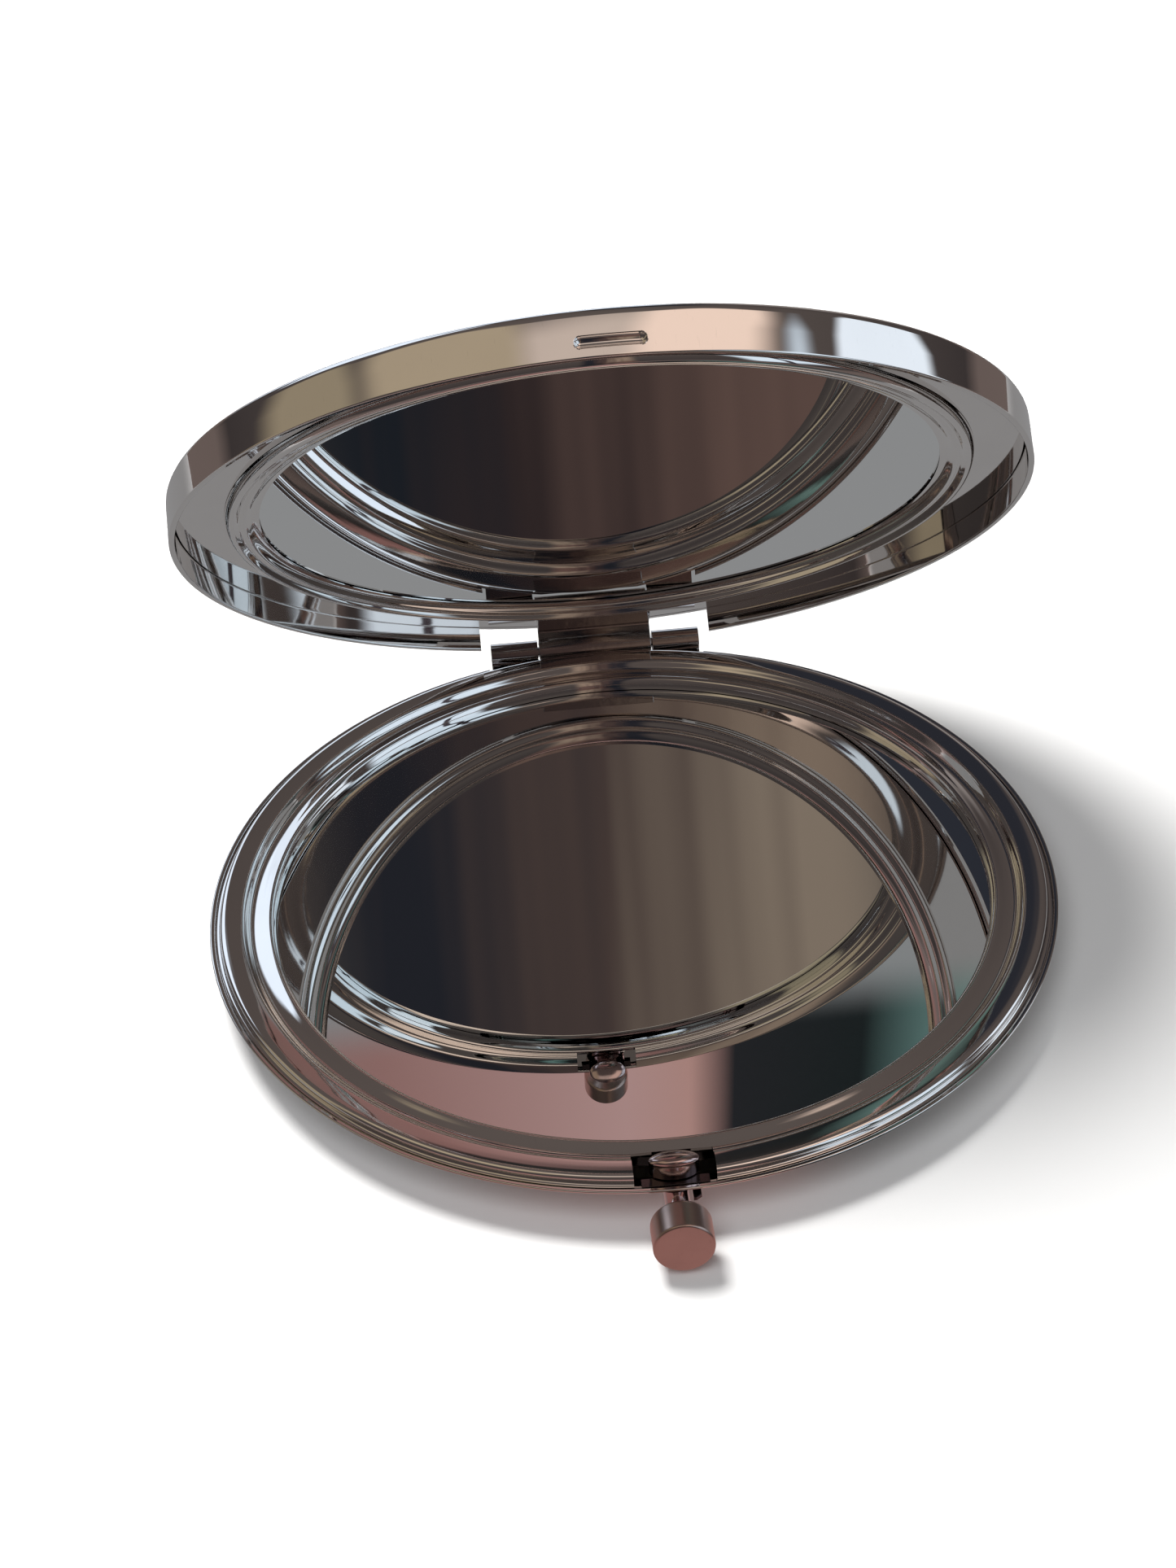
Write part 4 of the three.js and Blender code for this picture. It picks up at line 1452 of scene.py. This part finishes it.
def pale_world(scene):
    """Pale surround: white to camera, glossy and transmission rays, softer as a light."""
    world = bpy.data.worlds.new("pale_surround")
    world.use_nodes = True
    tree = world.node_tree
    tree.nodes.clear()
    rays = node(tree, "LightPath")
    first = node(tree, "Math", operation="MAXIMUM")
    seen = node(tree, "Math", operation="MAXIMUM")
    light = node(tree, "Background", {"Color": (1, 0.99, 0.98, 1), "Strength": WORLD_LIGHT})
    white = node(tree, "Background", {"Color": (1, 1, 1, 1), "Strength": 1.0})
    mix = node(tree, "MixShader")
    out = node(tree, "OutputWorld")
    wire(
        tree, (rays, "Is Camera Ray", first, 0), (rays, "Is Glossy Ray", first, 1),
        (first, "Value", seen, 0), (rays, "Is Transmission Ray", seen, 1),
        (seen, "Value", mix, "Fac"), (light, "Background", mix, 1), (white, "Background", mix, 2),
        (mix, "Shader", out, "Surface"),
    )
    scene.world = world


def soft_lamp(name, azimuth, elevation, distance, size, tint, power):
    data = bpy.data.lights.new(name, "AREA")
    data.shape = "DISK"
    data.size = size
    data.energy = power
    data.color = tint
    lamp = bpy.data.objects.new(name, data)
    place = wall_direction(azimuth, elevation) * distance
    aim = place.to_track_quat("Z", "Y").to_matrix().to_4x4()
    lamp.matrix_world = Matrix.Translation(place) @ aim
    lamp.visible_glossy = False
    bpy.context.scene.collection.objects.link(lamp)
    return lamp


def stage_disc(name, radius, material):
    bm = bmesh.new()
    bmesh.ops.create_circle(bm, cap_ends=True, segments=DISC_SIDES, radius=radius)
    disc = finish_mesh(name, bm)
    disc.data.materials.append(material)
    return disc


def only_in_reflections(piece):
    piece.visible_camera = False
    piece.visible_diffuse = False
    piece.visible_shadow = False


class StageMaker(bpy.types.Operator):
    """Makes the floor, the studio wall, the lamps, the world and the camera"""

    bl_idname = "compact.stage"
    bl_label = "Studio"

    def execute(self, context):
        scene = context.scene
        case, studio, finishes = scene.compact_case, scene.compact_studio, scene.compact_finishes
        floor = stage_disc("studio_floor", FLOOR_RADIUS, floor_material(finishes.floor))
        floor.location.y = FLOOR_SHIFT
        floor.visible_glossy = False

        bm = bmesh.new()
        bmesh.ops.create_uvsphere(bm, u_segments=96, v_segments=48, radius=WALL_RADIUS)
        wall = finish_mesh("studio_wall", bm)
        wall.data.materials.append(wall_material())
        only_in_reflections(wall)

        table = stage_disc("reflected_table", TABLE_RADIUS, table_material())
        table.location.z = -TABLE_DROP
        only_in_reflections(table)

        soft_lamp("key_lamp", *KEY_LAMP, studio.key_power)
        soft_lamp("fill_lamp", *FILL_LAMP, studio.fill_power)
        pale_world(scene)

        roll = studio.roll
        back = direction(studio.azimuth, studio.elevation)
        level = (-back).cross(Vector((0, 0, 1))).normalized()
        rise = level.cross(-back)
        right = math.cos(roll) * level + math.sin(roll) * rise
        up = -math.sin(roll) * level + math.cos(roll) * rise
        place = back * studio.distance + right * studio.aside + up * studio.above
        place.z += case.base_depth
        data = bpy.data.cameras.new("photo_camera")
        data.lens = studio.lens
        data.clip_start = 0.01
        data.clip_end = 10.0
        camera = bpy.data.objects.new("photo_camera", data)
        camera.matrix_world = Matrix((
            (right.x, up.x, back.x, place.x),
            (right.y, up.y, back.y, place.y),
            (right.z, up.z, back.z, place.z),
            (0, 0, 0, 1),
        ))
        scene.collection.objects.link(camera)
        scene.camera = camera
        scene.view_settings.view_transform = "Standard"
        return {"FINISHED"}


OPERATORS = [
    ShellMaker, FrameMaker, BaseMirrorMaker, HingeMaker, ButtonMaker, GuideMaker,
    LidShellMaker, LidFloorMaker, LidMirrorMaker, StageMaker,
]
SETTINGS = {
    "compact_case": CaseSizes,
    "compact_hinge": HingeSizes,
    "compact_catch": CatchSizes,
    "compact_finishes": Finishes,
    "compact_studio": StudioSizes,
}


class CompactPanel(bpy.types.Panel):
    """Lists the makers of the compact's pieces"""

    bl_idname = "VIEW3D_PT_compact"
    bl_label = "Compact Mirror"
    bl_space_type = "VIEW_3D"
    bl_region_type = "UI"
    bl_category = "Compact"

    def draw(self, context):
        for name, kind in SETTINGS.items():
            box = self.layout.box()
            box.label(text=kind.__doc__)
            for key in kind.__annotations__:
                box.prop(getattr(context.scene, name), key)
        for kind in OPERATORS:
            self.layout.operator(kind.bl_idname)


def register():
    for kind in [*SETTINGS.values(), *OPERATORS, CompactPanel]:
        bpy.utils.register_class(kind)
    for name, kind in SETTINGS.items():
        setattr(bpy.types.Scene, name, PointerProperty(type=kind))


def unregister():
    for name in SETTINGS:
        delattr(bpy.types.Scene, name)
    for kind in reversed([*SETTINGS.values(), *OPERATORS, CompactPanel]):
        bpy.utils.unregister_class(kind)


def main():
    register()
    for kind in OPERATORS:
        group, call = kind.bl_idname.split(".")
        getattr(getattr(bpy.ops, group), call)()


if __name__ == "__main__":
    main()
